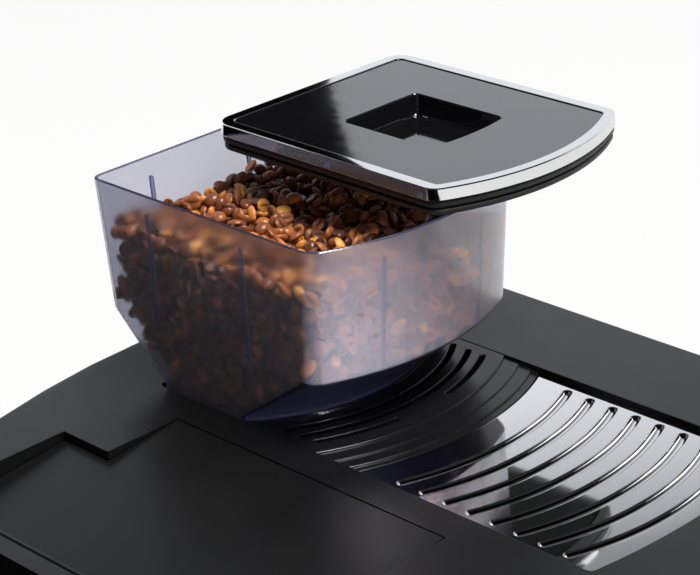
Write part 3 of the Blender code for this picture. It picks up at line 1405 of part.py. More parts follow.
def build_controls():
    """The control panel, display glass, buttons, knob and the board behind them."""
    outline = rectangle(-CONTROL_HALF, CONTROL_HALF, CONTROL_LOW, CONTROL_HIGH, CONTROL_CORNER)
    panel = finished("control_panel", facing_prism(outline, CONTROL_FACE, CONTROL_REAR), GLOSS_BLACK)
    low = CONTROL_MIDDLE - DISPLAY_HEIGHT / 2
    high = CONTROL_MIDDLE + DISPLAY_HEIGHT / 2
    window = rectangle(-DISPLAY_HALF, DISPLAY_HALF, low, high, DISPLAY_CORNER)
    cut(panel, tool("display_window", facing_prism(window, CONTROL_FACE - OVERRUN, CONTROL_REAR + OVERRUN)))
    pane = rectangle(-DISPLAY_HALF + FIT, DISPLAY_HALF - FIT, low + FIT, high - FIT, DISPLAY_CORNER - FIT)
    finished("display_glass", facing_prism(pane, CONTROL_FACE, CONTROL_REAR), GLASS)

    board_block = block(
        (-CONTROL_HALF + BOARD_MARGIN, BOARD_FACE, CONTROL_LOW + BOARD_MARGIN),
        (CONTROL_HALF - BOARD_MARGIN, BOARD_FACE + BOARD_THICKNESS, CONTROL_HIGH - BOARD_MARGIN),
    )
    board = finished("control_board", board_block, GREEN)
    inner_face = -BODY_FRONT + PANEL + FIT
    for index, (x, z) in enumerate(board_posts()):
        middle = (inner_face + BOARD_FACE + BOARD_THICKNESS / 2) / 2
        post = lying_cylinder(
            (x, middle, z), BOARD_POST, BOARD_FACE + BOARD_THICKNESS / 2 - inner_face, "Y", PIN_STEPS
        )
        join(board, tool(f"board_post_{index}", post))

    button_rear = CONTROL_FACE - BUTTON_PROUD + CONTROL_THICKNESS
    stem_end = BOARD_FACE - SWITCH_SIZE / 2 - BUTTON_TRAVEL - FIT
    for name, (x, z) in button_places():
        cut(
            panel,
            tool(name + "_hole", lying_cylinder((x, CONTROL_FACE, z), BUTTON_RADIUS + FIT, 3 * OVERRUN, "Y")),
        )
        front = CONTROL_FACE - BUTTON_PROUD
        cap = lying_cylinder((x, (front + button_rear) / 2, z), BUTTON_RADIUS, button_rear - front, "Y")
        button = finished(name, cap, CHROME, (x, front, z))
        stem_start = (front + button_rear) / 2
        stem = lying_cylinder(
            (x, (stem_start + stem_end) / 2, z), BUTTON_STEM, stem_end - stem_start, "Y", PIN_STEPS
        )
        join(button, tool(name + "_stem", stem))
        half = SWITCH_SIZE / 2
        switch = block(
            (x - half, BOARD_FACE - half, z - half), (x + half, BOARD_FACE + BOARD_THICKNESS / 2, z + half)
        )
        join(board, tool(name + "_switch", switch))

    x = KNOB_COLUMN
    z = CONTROL_MIDDLE
    hole = lying_cylinder((x, CONTROL_FACE, z), KNOB_SHAFT + FIT, 3 * OVERRUN, "Y")
    cut(panel, tool("knob_hole", hole))
    outline = []
    for step in range(2 * KNOB_FLUTES):
        angle = math.pi * step / KNOB_FLUTES
        radius = KNOB_RADIUS - (step % 2) * KNOB_FLUTE
        outline.append((x + radius * math.cos(angle), z + radius * math.sin(angle)))
    rear = CONTROL_FACE - FIT
    knob = finished("menu_knob", facing_prism(outline, rear - KNOB_PROUD, rear), CHROME, (x, rear, z))
    shaft_end = BOARD_FACE - SWITCH_SIZE - FIT
    shaft = lying_cylinder(
        (x, (rear - KNOB_PROUD / 2 + shaft_end) / 2, z), KNOB_SHAFT, shaft_end - rear + KNOB_PROUD / 2, "Y",
        PIN_STEPS,
    )
    join(knob, tool("knob_shaft", shaft))
    encoder = block(
        (x - SWITCH_SIZE, BOARD_FACE - SWITCH_SIZE, z - SWITCH_SIZE),
        (x + SWITCH_SIZE, BOARD_FACE + BOARD_THICKNESS / 2, z + SWITCH_SIZE),
    )
    join(board, tool("encoder", encoder))


def board_posts():
    """The board's four posts."""
    x = CONTROL_HALF - BOARD_MARGIN - 2 * BOARD_POST
    low = CONTROL_LOW + BOARD_MARGIN + 2 * BOARD_POST
    high = CONTROL_HIGH - BOARD_MARGIN - 2 * BOARD_POST
    return [(side * x, z) for side in (-1, 1) for z in (low, high)]


# Grinder
def burr_ring(centre, radius, depth, height, twist):
    """One ring of a toothed burr surface."""
    points = []
    for step in range(2 * BURR_TEETH):
        angle = math.pi * (step + twist) / BURR_TEETH
        reach = radius + (step % 2) * depth
        points.append((centre[0] + reach * math.cos(angle), centre[1] + reach * math.sin(angle), height))
    return points


def build_grinder():
    """Housing, ring burr, cone burr, the gear with its shaft, pinion, motor and chute."""
    centre = (BAY_MIDDLE, GRINDER_Y)
    floor = GRINDER_FLOOR_LEVEL
    wall = GRINDER_RADIUS - GRINDER_WALL
    top = GRINDER_TOP
    low = DECK_TOP + FIT
    burr_floor = floor + GRINDER_FLOOR_THICKNESS
    neck_gap = NECK_RADIUS + SEAM
    housing_profile = [
        (neck_gap, top), (GRINDER_RADIUS, top), (GRINDER_RADIUS, low), (wall, low), (wall, floor),
        (SHAFT_RADIUS + RUN, floor), (SHAFT_RADIUS + RUN, burr_floor), (RING_BURR_RADIUS + FIT, burr_floor),
        (RING_BURR_RADIUS + FIT, RING_BURR_LOW + RING_BURR_HEIGHT + FIT),
        (neck_gap, RING_BURR_LOW + RING_BURR_HEIGHT + FIT),
    ]
    housing = turned("grinder_housing", housing_profile, (*centre, 0), GREY, FINE_STEPS, True)
    window = block(
        (BAY_MIDDLE, GRINDER_Y - MOTOR_RADIUS - RUN, low - OVERRUN),
        (BAY_MIDDLE + 2 * GRINDER_RADIUS, GRINDER_Y + MOTOR_RADIUS + RUN, floor),
    )
    exit_port = lying_cylinder(
        (BAY_MIDDLE, GRINDER_Y - GRINDER_RADIUS, burr_floor + CHUTE_BORE / 2),
        CHUTE_BORE / 2,
        GRINDER_RADIUS,
        "Y"
    )
    cut(housing, tool("grinder_window", window), tool("grinder_exit", exit_port))

    ring_top = RING_BURR_LOW + RING_BURR_HEIGHT
    ring = finished(
        "ring_burr", cylinder(centre, RING_BURR_RADIUS, RING_BURR_LOW, ring_top, FINE_STEPS), STEEL
    )
    mouth = loft([
        burr_ring(centre, RING_BURR_BORE, BURR_TOOTH, RING_BURR_LOW - FIT, 0),
        burr_ring(centre, RING_BURR_BORE - BURR_TOOTH, BURR_TOOTH, ring_top + FIT, 1),
    ])
    cut(ring, tool("ring_burr_mouth", mouth))

    cone_low = burr_floor + FIT
    cone = loft([
        burr_ring(centre, CONE_BURR_RADIUS - BURR_TOOTH, BURR_TOOTH, cone_low, 0),
        burr_ring(centre, CONE_BURR_TIP, BURR_TOOTH, cone_low + CONE_BURR_HEIGHT, 2),
    ])
    burr = finished("cone_burr", cone, STEEL, (*centre, cone_low))
    bore = cylinder(centre, SHAFT_RADIUS + FIT, cone_low - OVERRUN, cone_low + CONE_BURR_HEIGHT + OVERRUN)
    cut(burr, tool("cone_bore", bore))
    gear_shape = prism(gear_outline(centre, GEAR_RADIUS, GEAR_TEETH, 0), GEAR_LOW, GEAR_LOW + GEAR_HEIGHT)
    gear = finished("grinder_gear", gear_shape, WHITE, (*centre, GEAR_LOW))
    shaft = cylinder(centre, SHAFT_RADIUS, DECK_TOP + FIT, cone_low + CONE_BURR_HEIGHT)
    join(gear, tool("burr_shaft", shaft))

    pinion_centre = (MOTOR_X, GRINDER_Y)
    half_tooth = math.pi / PINION_TEETH
    outline = gear_outline(pinion_centre, PINION_RADIUS, PINION_TEETH, math.pi + half_tooth)
    pinion = finished(
        "motor_pinion", prism(outline, GEAR_LOW, GEAR_LOW + GEAR_HEIGHT), STEEL, (*pinion_centre, GEAR_LOW)
    )
    spindle = cylinder(pinion_centre, MOTOR_SHAFT, MOTOR_TOP - GEAR_HEIGHT, GEAR_LOW + GEAR_HEIGHT / 2)
    join(pinion, tool("pinion_shaft", spindle))
    motor = finished(
        "grinder_motor", cylinder(pinion_centre, MOTOR_RADIUS, DECK_TOP + FIT, MOTOR_TOP, FINE_STEPS), STEEL
    )
    well = cylinder(pinion_centre, MOTOR_SHAFT + FIT, MOTOR_TOP - GEAR_HEIGHT - FIT, MOTOR_TOP + OVERRUN)
    cut(motor, tool("motor_well", well))

    level = burr_floor + CHUTE_BORE / 2
    line = chute_y()
    ends = (
        (BAY_MIDDLE, line, level + CHUTE_RADIUS),
        (BREW_X, line, DECK_TOP + CHUTE_RADIUS),
        (BREW_X, line, CHAMBER_TOP + 2 * CHUTE_RADIUS),
    )
    chute = tube("coffee_chute", ends, CHUTE_RADIUS, SATIN_BLACK)
    reach = (ends[2][0], ends[2][1], ends[2][2] - OVERRUN)
    top_reach = (ends[0][0], ends[0][1], ends[0][2] + OVERRUN)
    cut(chute, tube("chute_bore", (top_reach, ends[1], reach), CHUTE_BORE, None, CUTTERS))


# Brewing group
def build_brewing_group():
    """Frame, chamber, piston on its crossbar, lead screw and gear motor."""
    front = BREW_Y - BREW_FRAME_DEPTH / 2
    rear = BREW_Y + BREW_FRAME_DEPTH / 2
    wall = BREW_FRAME_WALL
    base = BASE_TOP + FIT
    outer = block((BREW_FRAME_LEFT, front, base), (BREW_FRAME_RIGHT, rear, BREW_FRAME_TOP))
    frame = finished("brew_frame", outer, GREY)
    inner = block(
        (BREW_FRAME_LEFT + wall, front - OVERRUN, base + wall),
        (BREW_FRAME_RIGHT - wall, rear + OVERRUN, BREW_FRAME_TOP - wall),
    )
    stem_hole = cylinder(
        CHAMBER_MIDDLE, PISTON_STEM + FIT, BREW_FRAME_TOP - 2 * wall, BREW_FRAME_TOP + OVERRUN
    )
    screw_centre = (SCREW_X, BREW_Y)
    screw_hole = cylinder(
        screw_centre, SCREW_RADIUS + FIT, BREW_FRAME_TOP - 2 * wall, BREW_FRAME_TOP + OVERRUN
    )
    cut(frame, tool("brew_inside", inner), tool("stem_hole", stem_hole), tool("screw_hole", screw_hole))

    foot = base + wall + FIT
    chamber_profile = [
        (CHAMBER_BORE, CHAMBER_TOP), (CHAMBER_RADIUS, CHAMBER_TOP), (CHAMBER_RADIUS, CHAMBER_LOW),
        (CHAMBER_FOOT_RADIUS, CHAMBER_LOW), (CHAMBER_FOOT_RADIUS, foot), (0, foot),
        (0, CHAMBER_LOW + CHAMBER_FLOOR), (CHAMBER_BORE, CHAMBER_LOW + CHAMBER_FLOOR),
    ]
    turned("brew_chamber", chamber_profile, (*CHAMBER_MIDDLE, 0), WHITE, FINE_STEPS, True)

    disc = CHAMBER_BORE - PISTON_GAP
    face = PISTON_LOW + PISTON_THICKNESS
    piston_profile = [(0, PISTON_TOP), (PISTON_STEM, PISTON_TOP), (PISTON_STEM, face), (disc, face),
                      (disc, PISTON_LOW), (0, PISTON_LOW)]
    piston = turned("brew_piston", piston_profile, (*CHAMBER_MIDDLE, 0), WHITE, FINE_STEPS)
    bar = block(
        (BREW_X - CROSSBAR_HALF, BREW_Y - CROSSBAR_HALF, CROSSBAR_LOW),
        (SCREW_X + CROSSBAR_HALF, BREW_Y + CROSSBAR_HALF, CROSSBAR_LOW + CROSSBAR_HEIGHT),
    )
    join(piston, tool("crossbar", bar))
    nut = cylinder(
        screw_centre, SCREW_RADIUS + FIT, CROSSBAR_LOW - OVERRUN, CROSSBAR_LOW + CROSSBAR_HEIGHT + OVERRUN
    )
    cut(piston, tool("crossbar_nut", nut))

    screw = cylinder(screw_centre, SCREW_RADIUS, foot, BREW_FRAME_TOP, ROUND_STEPS // 2)
    finished("lead_screw", screw, STEEL, (*screw_centre, foot))
    motor_low = BREW_FRAME_TOP + FIT
    motor = cylinder(screw_centre, BREW_MOTOR_RADIUS, motor_low, motor_low + BREW_MOTOR_HEIGHT)
    finished("brew_motor", motor, STEEL)


# Heater, pump, hoses and mains
def build_heater():
    """The finned block heater on the deck."""
    low = DECK_TOP + FIT
    top = low + HEATER_HEIGHT
    body = finished(
        "block_heater", block((HEATER_LEFT, HEATER_FRONT, low), (HEATER_RIGHT, HEATER_REAR, top)), ALUMINIUM
    )
    pitch = (HEATER_REAR - HEATER_FRONT) / (HEATER_FINS + HEATER_FIN_SHARE)
    for index in range(HEATER_FINS):
        start = HEATER_FRONT + (index + HEATER_FIN_SHARE) * pitch
        gap = block(
            (HEATER_LEFT - OVERRUN, start, top - HEATER_FIN_DEPTH),
            (HEATER_RIGHT + OVERRUN, start + pitch * HEATER_FIN_SHARE, top + OVERRUN),
        )
        cut(body, tool(f"heater_gap_{index}", gap))


def build_pump():
    """The pump, lying on two feet under the tank."""
    centre = (PUMP_X, PUMP_Y, PUMP_HEIGHT)
    pump = finished("water_pump", lying_cylinder(centre, PUMP_RADIUS, PUMP_LENGTH, "X"), STEEL)
    nose = lying_cylinder(centre, PUMP_NOSE, PUMP_LENGTH + 2 * PUMP_NOSE_LENGTH, "X", PIN_STEPS)
    join(pump, tool("pump_nose", nose))
    for side in (-1, 1):
        x = PUMP_X + side * (PUMP_LENGTH / 2 - PUMP_FOOT_LENGTH)
        half = PUMP_FOOT_LENGTH / 2
        foot = block(
            (x - half, PUMP_Y - PUMP_RADIUS, BASE_TOP + FIT),
            (x + half, PUMP_Y + PUMP_RADIUS, PUMP_HEIGHT - PUMP_NOSE)
        )
        join(pump, tool(f"pump_foot_{side}", foot))


def build_hoses():
    """The hose from the tank's socket to the pump, and the one from the pump to the heater."""
    socket_low = SHELF_HEIGHT - SOCKET_HEIGHT
    nose = PUMP_LENGTH / 2 + PUMP_NOSE_LENGTH + FIT
    inlet = (PUMP_X - nose, PUMP_Y, PUMP_HEIGHT)
    outlet = (PUMP_X + nose, PUMP_Y, PUMP_HEIGHT)
    tube(
        "suction_hose",
        (
            (VALVE_X, VALVE_Y, socket_low - FIT),
            (VALVE_X, VALVE_Y, socket_low - HOSE_BEND / 2),
            (VALVE_X - HOSE_BEND, VALVE_Y, (socket_low + PUMP_HEIGHT) / 2),
            (inlet[0] - HOSE_BEND / 2, PUMP_Y + HOSE_BEND / 2, PUMP_HEIGHT + HOSE_BEND),
            (inlet[0] - HOSE_BEND / 3, PUMP_Y, PUMP_HEIGHT),
            inlet,
        ),
        HOSE_RADIUS, HOSE, round_steps=1, smooth_steps=3,
    )
    tube(
        "pressure_hose",
        (
            outlet,
            (outlet[0] + HOSE_BEND / 3, PUMP_Y, PUMP_HEIGHT),
            (outlet[0] + HOSE_BEND / 4, PUMP_Y + 2 * HOSE_BEND, PUMP_HEIGHT + HOSE_BEND / 2),
            (outlet[0] + HOSE_BEND / 4, HOSE_REAR - 2 * HOSE_BEND, HOSE_LEVEL),
            (WALL_LEFT - HOSE_BEND / 2, HOSE_REAR - HOSE_BEND / 8, HOSE_LEVEL),
            (WALL_LEFT, HOSE_REAR, HOSE_LEVEL),
            (WALL_RIGHT + HOSE_BEND / 2, HOSE_REAR, HOSE_LEVEL),
            (HOSE_DECK_X - HOSE_BEND, HOSE_REAR, HOSE_LEVEL),
            (HOSE_DECK_X, HOSE_REAR, HOSE_LEVEL + HOSE_BEND),
            (HOSE_DECK_X, HOSE_REAR, DECK_HEIGHT - HOSE_BEND / 2),
            (HOSE_DECK_X, HOSE_REAR, DECK_TOP),
            (HOSE_DECK_X, HOSE_REAR, DECK_TOP + HOSE_BEND / 4),
            (HOSE_DECK_X, HOSE_REAR - HOSE_BEND, DECK_TOP + HEATER_HEIGHT / 2),
            (HOSE_DECK_X, HEATER_REAR + HOSE_BEND, DECK_TOP + HEATER_HEIGHT / 2),
            (HOSE_DECK_X, HEATER_REAR + FIT, DECK_TOP + HEATER_HEIGHT / 2),
        ),
        HOSE_RADIUS, HOSE, round_steps=1, smooth_steps=3,
    )


def build_mains():
    """The mains inlet with three contact pins, in one module with the switch, and the rocker."""
    half = INLET_WIDTH / 2
    rear = BODY_REAR + INLET_PROUD
    low = INLET_LEVEL
    high = INLET_LEVEL + INLET_HEIGHT
    front = rear - INLET_DEPTH
    inlet = finished(
        "mains_inlet", block((INLET_X - half, front, low), (INLET_X + half, rear, high)), SATIN_BLACK
    )
    wall = INLET_SOCKET_WALL
    floor = rear - INLET_SOCKET_DEPTH
    socket = block(
        (INLET_X - half + wall, floor, low + wall), (INLET_X + half - wall, rear + OVERRUN, high - wall)
    )
    cut(inlet, tool("inlet_socket", socket))
    for index, shift in enumerate((-PIN_SPREAD, 0, PIN_SPREAD)):
        pin = lying_cylinder(
            (INLET_X + shift, floor + INLET_SOCKET_DEPTH / 3, LINE_LEVEL),
            PIN_RADIUS,
            INLET_SOCKET_DEPTH,
            "Y",
            PIN_STEPS,
        )
        join(inlet, tool(f"inlet_pin_{index}", pin))

    pivot = (SWITCH_X, BODY_REAR - PANEL - ROCKER_RADIUS / 2, LINE_LEVEL)
    drum = lying_cylinder(pivot, ROCKER_RADIUS, 2 * ROCKER_HALF, "X", FINE_STEPS)
    rocker = finished("power_rocker", drum, GLOSS_BLACK, pivot)
    hollow = lying_cylinder(
        (SWITCH_X, BODY_REAR + ROCKER_RADIUS, LINE_LEVEL),
        ROCKER_RADIUS + ROCKER_RADIUS / 4,
        3 * ROCKER_HALF,
        "X",
        FINE_STEPS,
    )
    cut(rocker, tool("rocker_dish", hollow))
    side = ROCKER_HALF + 2 * PANEL
    reach = ROCKER_RADIUS + 2 * PANEL
    case = block(
        (SWITCH_X - side, pivot[1] - reach, LINE_LEVEL - reach),
        (SWITCH_X + side, BODY_REAR - 2 * PANEL, LINE_LEVEL + reach),
    )
    side = ROCKER_HALF + RUN
    reach = ROCKER_RADIUS + RUN
    well = block(
        (SWITCH_X - side, pivot[1] - reach, LINE_LEVEL - reach),
        (SWITCH_X + side, BODY_REAR, LINE_LEVEL + reach)
    )
    join(inlet, tool("switch_case", case))
    cut(inlet, tool("switch_well", well))


build_base()
build_feet()
build_left_panel()
build_right_panel()
build_door()
build_rear_panel()
build_front_panel()
build_top_cover()
build_vent_insert()
build_cup_tray()
build_hopper()
build_lid()
build_tank()
build_tank_lid()
build_tank_valve()
build_frame()
build_cup_bay()
build_spout()
build_water_nozzle()
build_drip_tray()
build_controls()
build_grinder()
build_brewing_group()
build_heater()
build_pump()
build_hoses()
build_mains()
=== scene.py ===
# %% [markdown]
# # A bean to cup coffee machine, its hopper lid laid askew
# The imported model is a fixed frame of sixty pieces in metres, with its front towards -Y. This script
# dresses that frame: it sets up a camera and a small studio, gives each piece its finish, and makes
# finer versions of the pieces that catch the eye, which stand where the frame's own pieces are.

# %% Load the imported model
import json
import math

import bmesh
import bpy
import numpy as np
from mathutils import Matrix, Vector
from mathutils.kdtree import KDTree


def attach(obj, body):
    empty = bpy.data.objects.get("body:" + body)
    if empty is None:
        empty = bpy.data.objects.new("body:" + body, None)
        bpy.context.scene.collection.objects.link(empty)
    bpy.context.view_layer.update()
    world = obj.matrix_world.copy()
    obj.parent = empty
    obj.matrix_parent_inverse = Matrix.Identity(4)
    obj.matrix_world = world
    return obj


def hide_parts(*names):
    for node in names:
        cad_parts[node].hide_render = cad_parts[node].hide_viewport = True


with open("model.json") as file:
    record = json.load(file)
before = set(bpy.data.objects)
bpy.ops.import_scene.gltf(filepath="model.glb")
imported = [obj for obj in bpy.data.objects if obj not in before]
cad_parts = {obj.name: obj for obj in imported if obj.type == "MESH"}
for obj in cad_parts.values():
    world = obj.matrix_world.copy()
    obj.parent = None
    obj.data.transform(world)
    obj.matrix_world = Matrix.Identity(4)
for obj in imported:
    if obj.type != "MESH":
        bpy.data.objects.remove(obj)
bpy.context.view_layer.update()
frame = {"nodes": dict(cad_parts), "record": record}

NODES = frame["nodes"]

# %% [markdown]
# ## Camera
# The picture is taken from the machine's front left, about 1.2 m away. A long lens keeps upright edges
# almost parallel. A constraint could aim the camera, but a picture also has a roll, so its place and
# two axes are written down as they were solved from the picture's edges.

# %% Place the camera
TOP = 0.347
CAMERA_PLACE = Vector((-0.7411, -0.7152, 0.902))
CAMERA_RIGHT = Vector((0.6973, -0.7156, -0.0402)).normalized()
CAMERA_UP = Vector((0.3192, 0.2598, 0.9114)).normalized()
SENSOR = 36
LENS = 118.0
CLIP_START = 0.05

scene = bpy.context.scene


def placed(name, data):
    """A new object in the scene."""
    thing = bpy.data.objects.new(name, data)
    scene.collection.objects.link(thing)
    return thing


lens = bpy.data.cameras.new("camera")
lens.lens = LENS
lens.sensor_width = SENSOR
lens.clip_start = CLIP_START
camera = placed("camera", lens)
back = CAMERA_RIGHT.cross(CAMERA_UP).normalized()
turn = Matrix((CAMERA_RIGHT, back.cross(CAMERA_RIGHT), back)).transposed().to_4x4()
camera.matrix_world = Matrix.Translation(CAMERA_PLACE) @ turn
scene.camera = camera
print("camera is", round((CAMERA_PLACE - Vector((0, 0, TOP))).length, 3), "m from the machine's top")

# %% [markdown]
# ## Studio
# Nodes are wired by hand in Blender's editor. In a script a few helpers make the moves that recur.

# %% Helpers for node trees
FINISHES = {}
SHOWN_TO = ("Camera", "Glossy", "Transmission")


def node(tree, kind, **settings):
    """A new node of a kind, with some of its settings changed."""
    new = tree.nodes.new("ShaderNode" + kind)
    for name, value in settings.items():
        setattr(new, name, value)
    return new


def wire(tree, *pairs):
    """Links outputs to inputs."""
    for output, entry in pairs:
        tree.links.new(output, entry)


def fill_ramp(ramp, stops):
    """Gives a colour ramp its stops, each a place and a colour."""
    elements = ramp.color_ramp.elements
    while len(elements) < len(stops):
        elements.new(1)
    for element, (place, colour) in zip(elements, stops):
        element.position = place
        element.color = (*colour, 1)


def for_rays(tree, *kinds):
    """An output that is one for rays of the named kinds and nought for all others."""
    rays = node(tree, "LightPath")
    found = rays.outputs[f"Is {kinds[0]} Ray"]
    for kind in kinds[1:]:
        larger = node(tree, "Math", operation="MAXIMUM")
        wire(tree, (found, larger.inputs[0]), (rays.outputs[f"Is {kind} Ray"], larger.inputs[1]))
        found = larger.outputs[0]
    return found


def finish(name, colour, roughness, metallic=0.0, **more):
    """A new surface, kept under its name; more sets other sockets, such as Coat_Weight."""
    surface = bpy.data.materials.new(name)
    surface.use_nodes = True
    sockets = surface.node_tree.nodes["Principled BSDF"].inputs
    sockets["Base Color"].default_value = (*colour, 1)
    sockets["Roughness"].default_value = roughness
    sockets["Metallic"].default_value = metallic
    for socket, value in more.items():
        sockets[socket.replace("_", " ")].default_value = value
    FINISHES[name] = surface
    return surface.node_tree


# %% [markdown]
# Black gloss and chrome show little but what stands around them. The surround has white walls behind
# the machine, a dark ceiling, and a dark room behind the camera. The lid and the far panels mirror the
# walls, and the tray's grooves the ceiling. A room of planes would do, but a world of a few nodes is
# lighter: one ramp goes by height, and one falls off to the sides.

# %% Surround, by height and by side
# Sine of the angle over the horizon, and how bright it is there
HEIGHTS = ((math.sin(math.radians(26.8)), 1.0), (math.sin(math.radians(31)), 0.34), (0.75, 0.05))
REAR = math.radians(46)
REAR_SIDE = (0.45, 0.65)
FRONT_LEVEL = 0.04

scene.view_settings.view_transform = "Standard"
scene.world = bpy.data.worlds.new("studio")
scene.world.use_nodes = True
room = scene.world.node_tree
room.nodes.clear()
way = node(room, "TexCoord").outputs["Generated"]
parts = node(room, "SeparateXYZ")
by_height = node(room, "ValToRGB")
fill_ramp(by_height, [(place, (level, level, level)) for place, level in HEIGHTS])
to_rear = node(room, "VectorMath", operation="DOT_PRODUCT")
to_rear.inputs[1].default_value = (math.cos(REAR), math.sin(REAR), 0)
by_side = node(room, "MapRange")
by_side.inputs["From Min"].default_value, by_side.inputs["From Max"].default_value = REAR_SIDE
by_side.inputs["To Min"].default_value = FRONT_LEVEL
mirrored = node(room, "Math", operation="MULTIPLY")
wire(
    room,
    (way, parts.inputs[0]),
    (parts.outputs["Z"], by_height.inputs["Fac"]),
    (way, to_rear.inputs[0]),
    (to_rear.outputs["Value"], by_side.inputs["Value"]),
    (by_height.outputs["Color"], mirrored.inputs[0]),
    (by_side.outputs["Result"], mirrored.inputs[1]),
)
print("surround with", len(HEIGHTS), "levels by height")

# %% [markdown]
# Mirrors and clear plastic see that surround, a little cool. The camera sees plain white, as in the
# picture, and all other rays a faint even fill.

# %% Surround, by kind of ray
COOL = (0.955, 0.982, 1.025, 1)
FILL_COLOUR = (0.94, 0.97, 1.0, 1)
FILL_LEVEL = 0.04

level_by_ray = node(room, "Mix")
level_by_ray.inputs["B"].default_value = 1
tint_by_ray = node(room, "Mix", data_type="RGBA")
tint_by_ray.inputs["A"].default_value = COOL
tint_by_ray.inputs["B"].default_value = (1, 1, 1, 1)
shown = node(room, "Background")
fill = node(room, "Background")
fill.inputs["Color"].default_value = FILL_COLOUR
fill.inputs["Strength"].default_value = FILL_LEVEL
either = node(room, "MixShader")
result = node(room, "OutputWorld")
camera_rays = for_rays(room, "Camera")
wire(
    room,
    (camera_rays, level_by_ray.inputs["Factor"]),
    (mirrored.outputs[0], level_by_ray.inputs["A"]),
    (camera_rays, tint_by_ray.inputs["Factor"]),
    (level_by_ray.outputs["Result"], shown.inputs["Strength"]),
    (tint_by_ray.outputs["Result"], shown.inputs["Color"]),
    (for_rays(room, *SHOWN_TO), either.inputs["Fac"]),
    (fill.outputs[0], either.inputs[1]),
    (shown.outputs[0], either.inputs[2]),
    (either.outputs[0], result.inputs["Surface"]),
)
print("a surround of", len(room.nodes), "nodes")

# %% [markdown]
# The lamps are area lamps, since point lamps would draw hard dots in every gloss. A small one with a
# narrow spread makes the pale haze on the hopper's front wall, and light linking keeps its light there.
# The polished chrome is linked out of the key lamp's light, as if by a flag.

# %% Lamps
HAZE_SPREAD = math.radians(16)


def softbox(name, place, aim, size, power, colour=(1, 1, 1)):
    """An area lamp, of a width and height, that faces a point."""
    lamp = bpy.data.lights.new(name, "AREA")
    lamp.shape = "RECTANGLE"
    lamp.size, lamp.size_y = size
    lamp.energy = power
    lamp.color = colour
    box = placed(name, lamp)
    box.location = place
    box.rotation_euler = (Vector(place) - Vector(aim)).to_track_quat("Z", "Y").to_euler()
    return box


front = softbox("front_lamp", (-0.25, -2.05, 0.95), (0.04, 0.0, 0.40), (0.8, 0.8), 20, (1, 0.985, 0.98))
front.visible_glossy = False
haze = softbox(
    "haze_lamp", (-0.026, -0.75, 0.44), (-0.028, 0.02, 0.374), (0.08, 0.07), 0.25, (1, 0.96, 0.97)
)
haze.data.spread = HAZE_SPREAD
haze.visible_transmission = False
in_haze = bpy.data.collections.new("lit_by_the_haze_lamp")
haze.light_linking.receiver_collection = in_haze
key = softbox("key_lamp", (0.12, -0.75, 2.35), (0.04, 0.05, 0.42), (0.9, 0.8), 74, (1, 0.965, 0.91))
out_of_key = bpy.data.collections.new("kept_from_the_key_lamp")
key.light_linking.receiver_collection = out_of_key
softbox("side_lamp", (2.15, -0.64, 1.44), (0.10, -0.05, 0.35), (1.3, 0.9), 5)
softbox("rear_lamp", (-0.05, 2.10, 1.90), (0.05, 0.10, 0.35), (1.0, 1.0), 5)


def keep_from_key(thing):
    """Leaves a polished piece out of the key lamp's light."""
    out_of_key.objects.link(thing)
    out_of_key.collection_objects[-1].light_linking.link_state = "EXCLUDE"


print(len(bpy.data.lights), "softboxes")

# %% [markdown]
# Photographers shape reflections with black card. One stands behind the machine and makes the lid's dark
# corner. Two lie on the floor, at the left and behind, and the latter also shows through clear plastic.

# %% Black cards
CARD_RISE = 0.002
CARD_REACH = 2.6
CARD_CORNERS = ((45.0, 24.3), (56.0, 24.3), (56.0, -8.0), (51.0, -8.0), (46.6, 18.5))
LID_SPOT = (0.11, 0.09, 0.474)
finish("black_card", (0.004, 0.004, 0.004), 0.5, Specular_IOR_Level=0)


def sheet(name, corners, slot):
    """A flat sheet of the studio."""
    mesh = bpy.data.meshes.new(name)
    mesh.from_pydata(corners, [], [range(len(corners))])
    mesh.materials.append(FINISHES[slot])
    thing = placed(name, mesh)
    return thing


def oblong(left, front, right, rear, height):
    """The corners of a level oblong."""
    return [(left, front, height), (right, front, height), (right, rear, height), (left, rear, height)]


def black_card(name, corners, through=False):
    """A card that is seen in reflections only, and through clear plastic if told so."""
    card = sheet(name, corners, "black_card")
    card.visible_camera = card.visible_diffuse = card.visible_shadow = False
    card.visible_transmission = through


def from_lid(turn, rise):
    """The place on the upright card that is seen from the lid in a direction."""
    turn, rise = math.radians(turn), math.radians(rise)
    step = Vector((math.cos(turn), math.sin(turn), math.tan(rise)))
    return Vector(LID_SPOT) + CARD_REACH * step


black_card("upright_card", [from_lid(turn, rise) for turn, rise in CARD_CORNERS])
black_card("side_card", oblong(-2.6, -1.7, -0.45, 0.26, CARD_RISE))
black_card("floor_card", oblong(-2.6, 0.26, -0.16, 2.8, CARD_RISE), True)
print("three black cards")

# %% [markdown]
# ## Finishes
# Every surface is procedural: one shader, with noise for its grain and for the unevenness of real
# mouldings. Photographs would need unwrapped pieces. Noise is measured in metres on the piece itself,
# so it turns with the piece.

# %% Three ways to enrich a shader
EVEN = (1, 1, 1)
SHADE_STOPS = (0.35, 0.65)
NOISE_SPAN = (0.3, 0.7)


def pattern(tree, size, stretch=EVEN, detail=2.0):
    """Noise in the piece's own space, whose grains are about size metres across."""
    where = node(tree, "TexCoord")
    scaled = node(tree, "Mapping")
    scaled.inputs["Scale"].default_value = stretch
    cloud = node(tree, "TexNoise")
    cloud.inputs["Scale"].default_value = 1 / size
    cloud.inputs["Detail"].default_value = detail
    wire(
        tree,
        (where.outputs["Object"], scaled.inputs["Vector"]),
        (scaled.outputs["Vector"], cloud.inputs["Vector"]),
    )
    return cloud.outputs["Fac"]


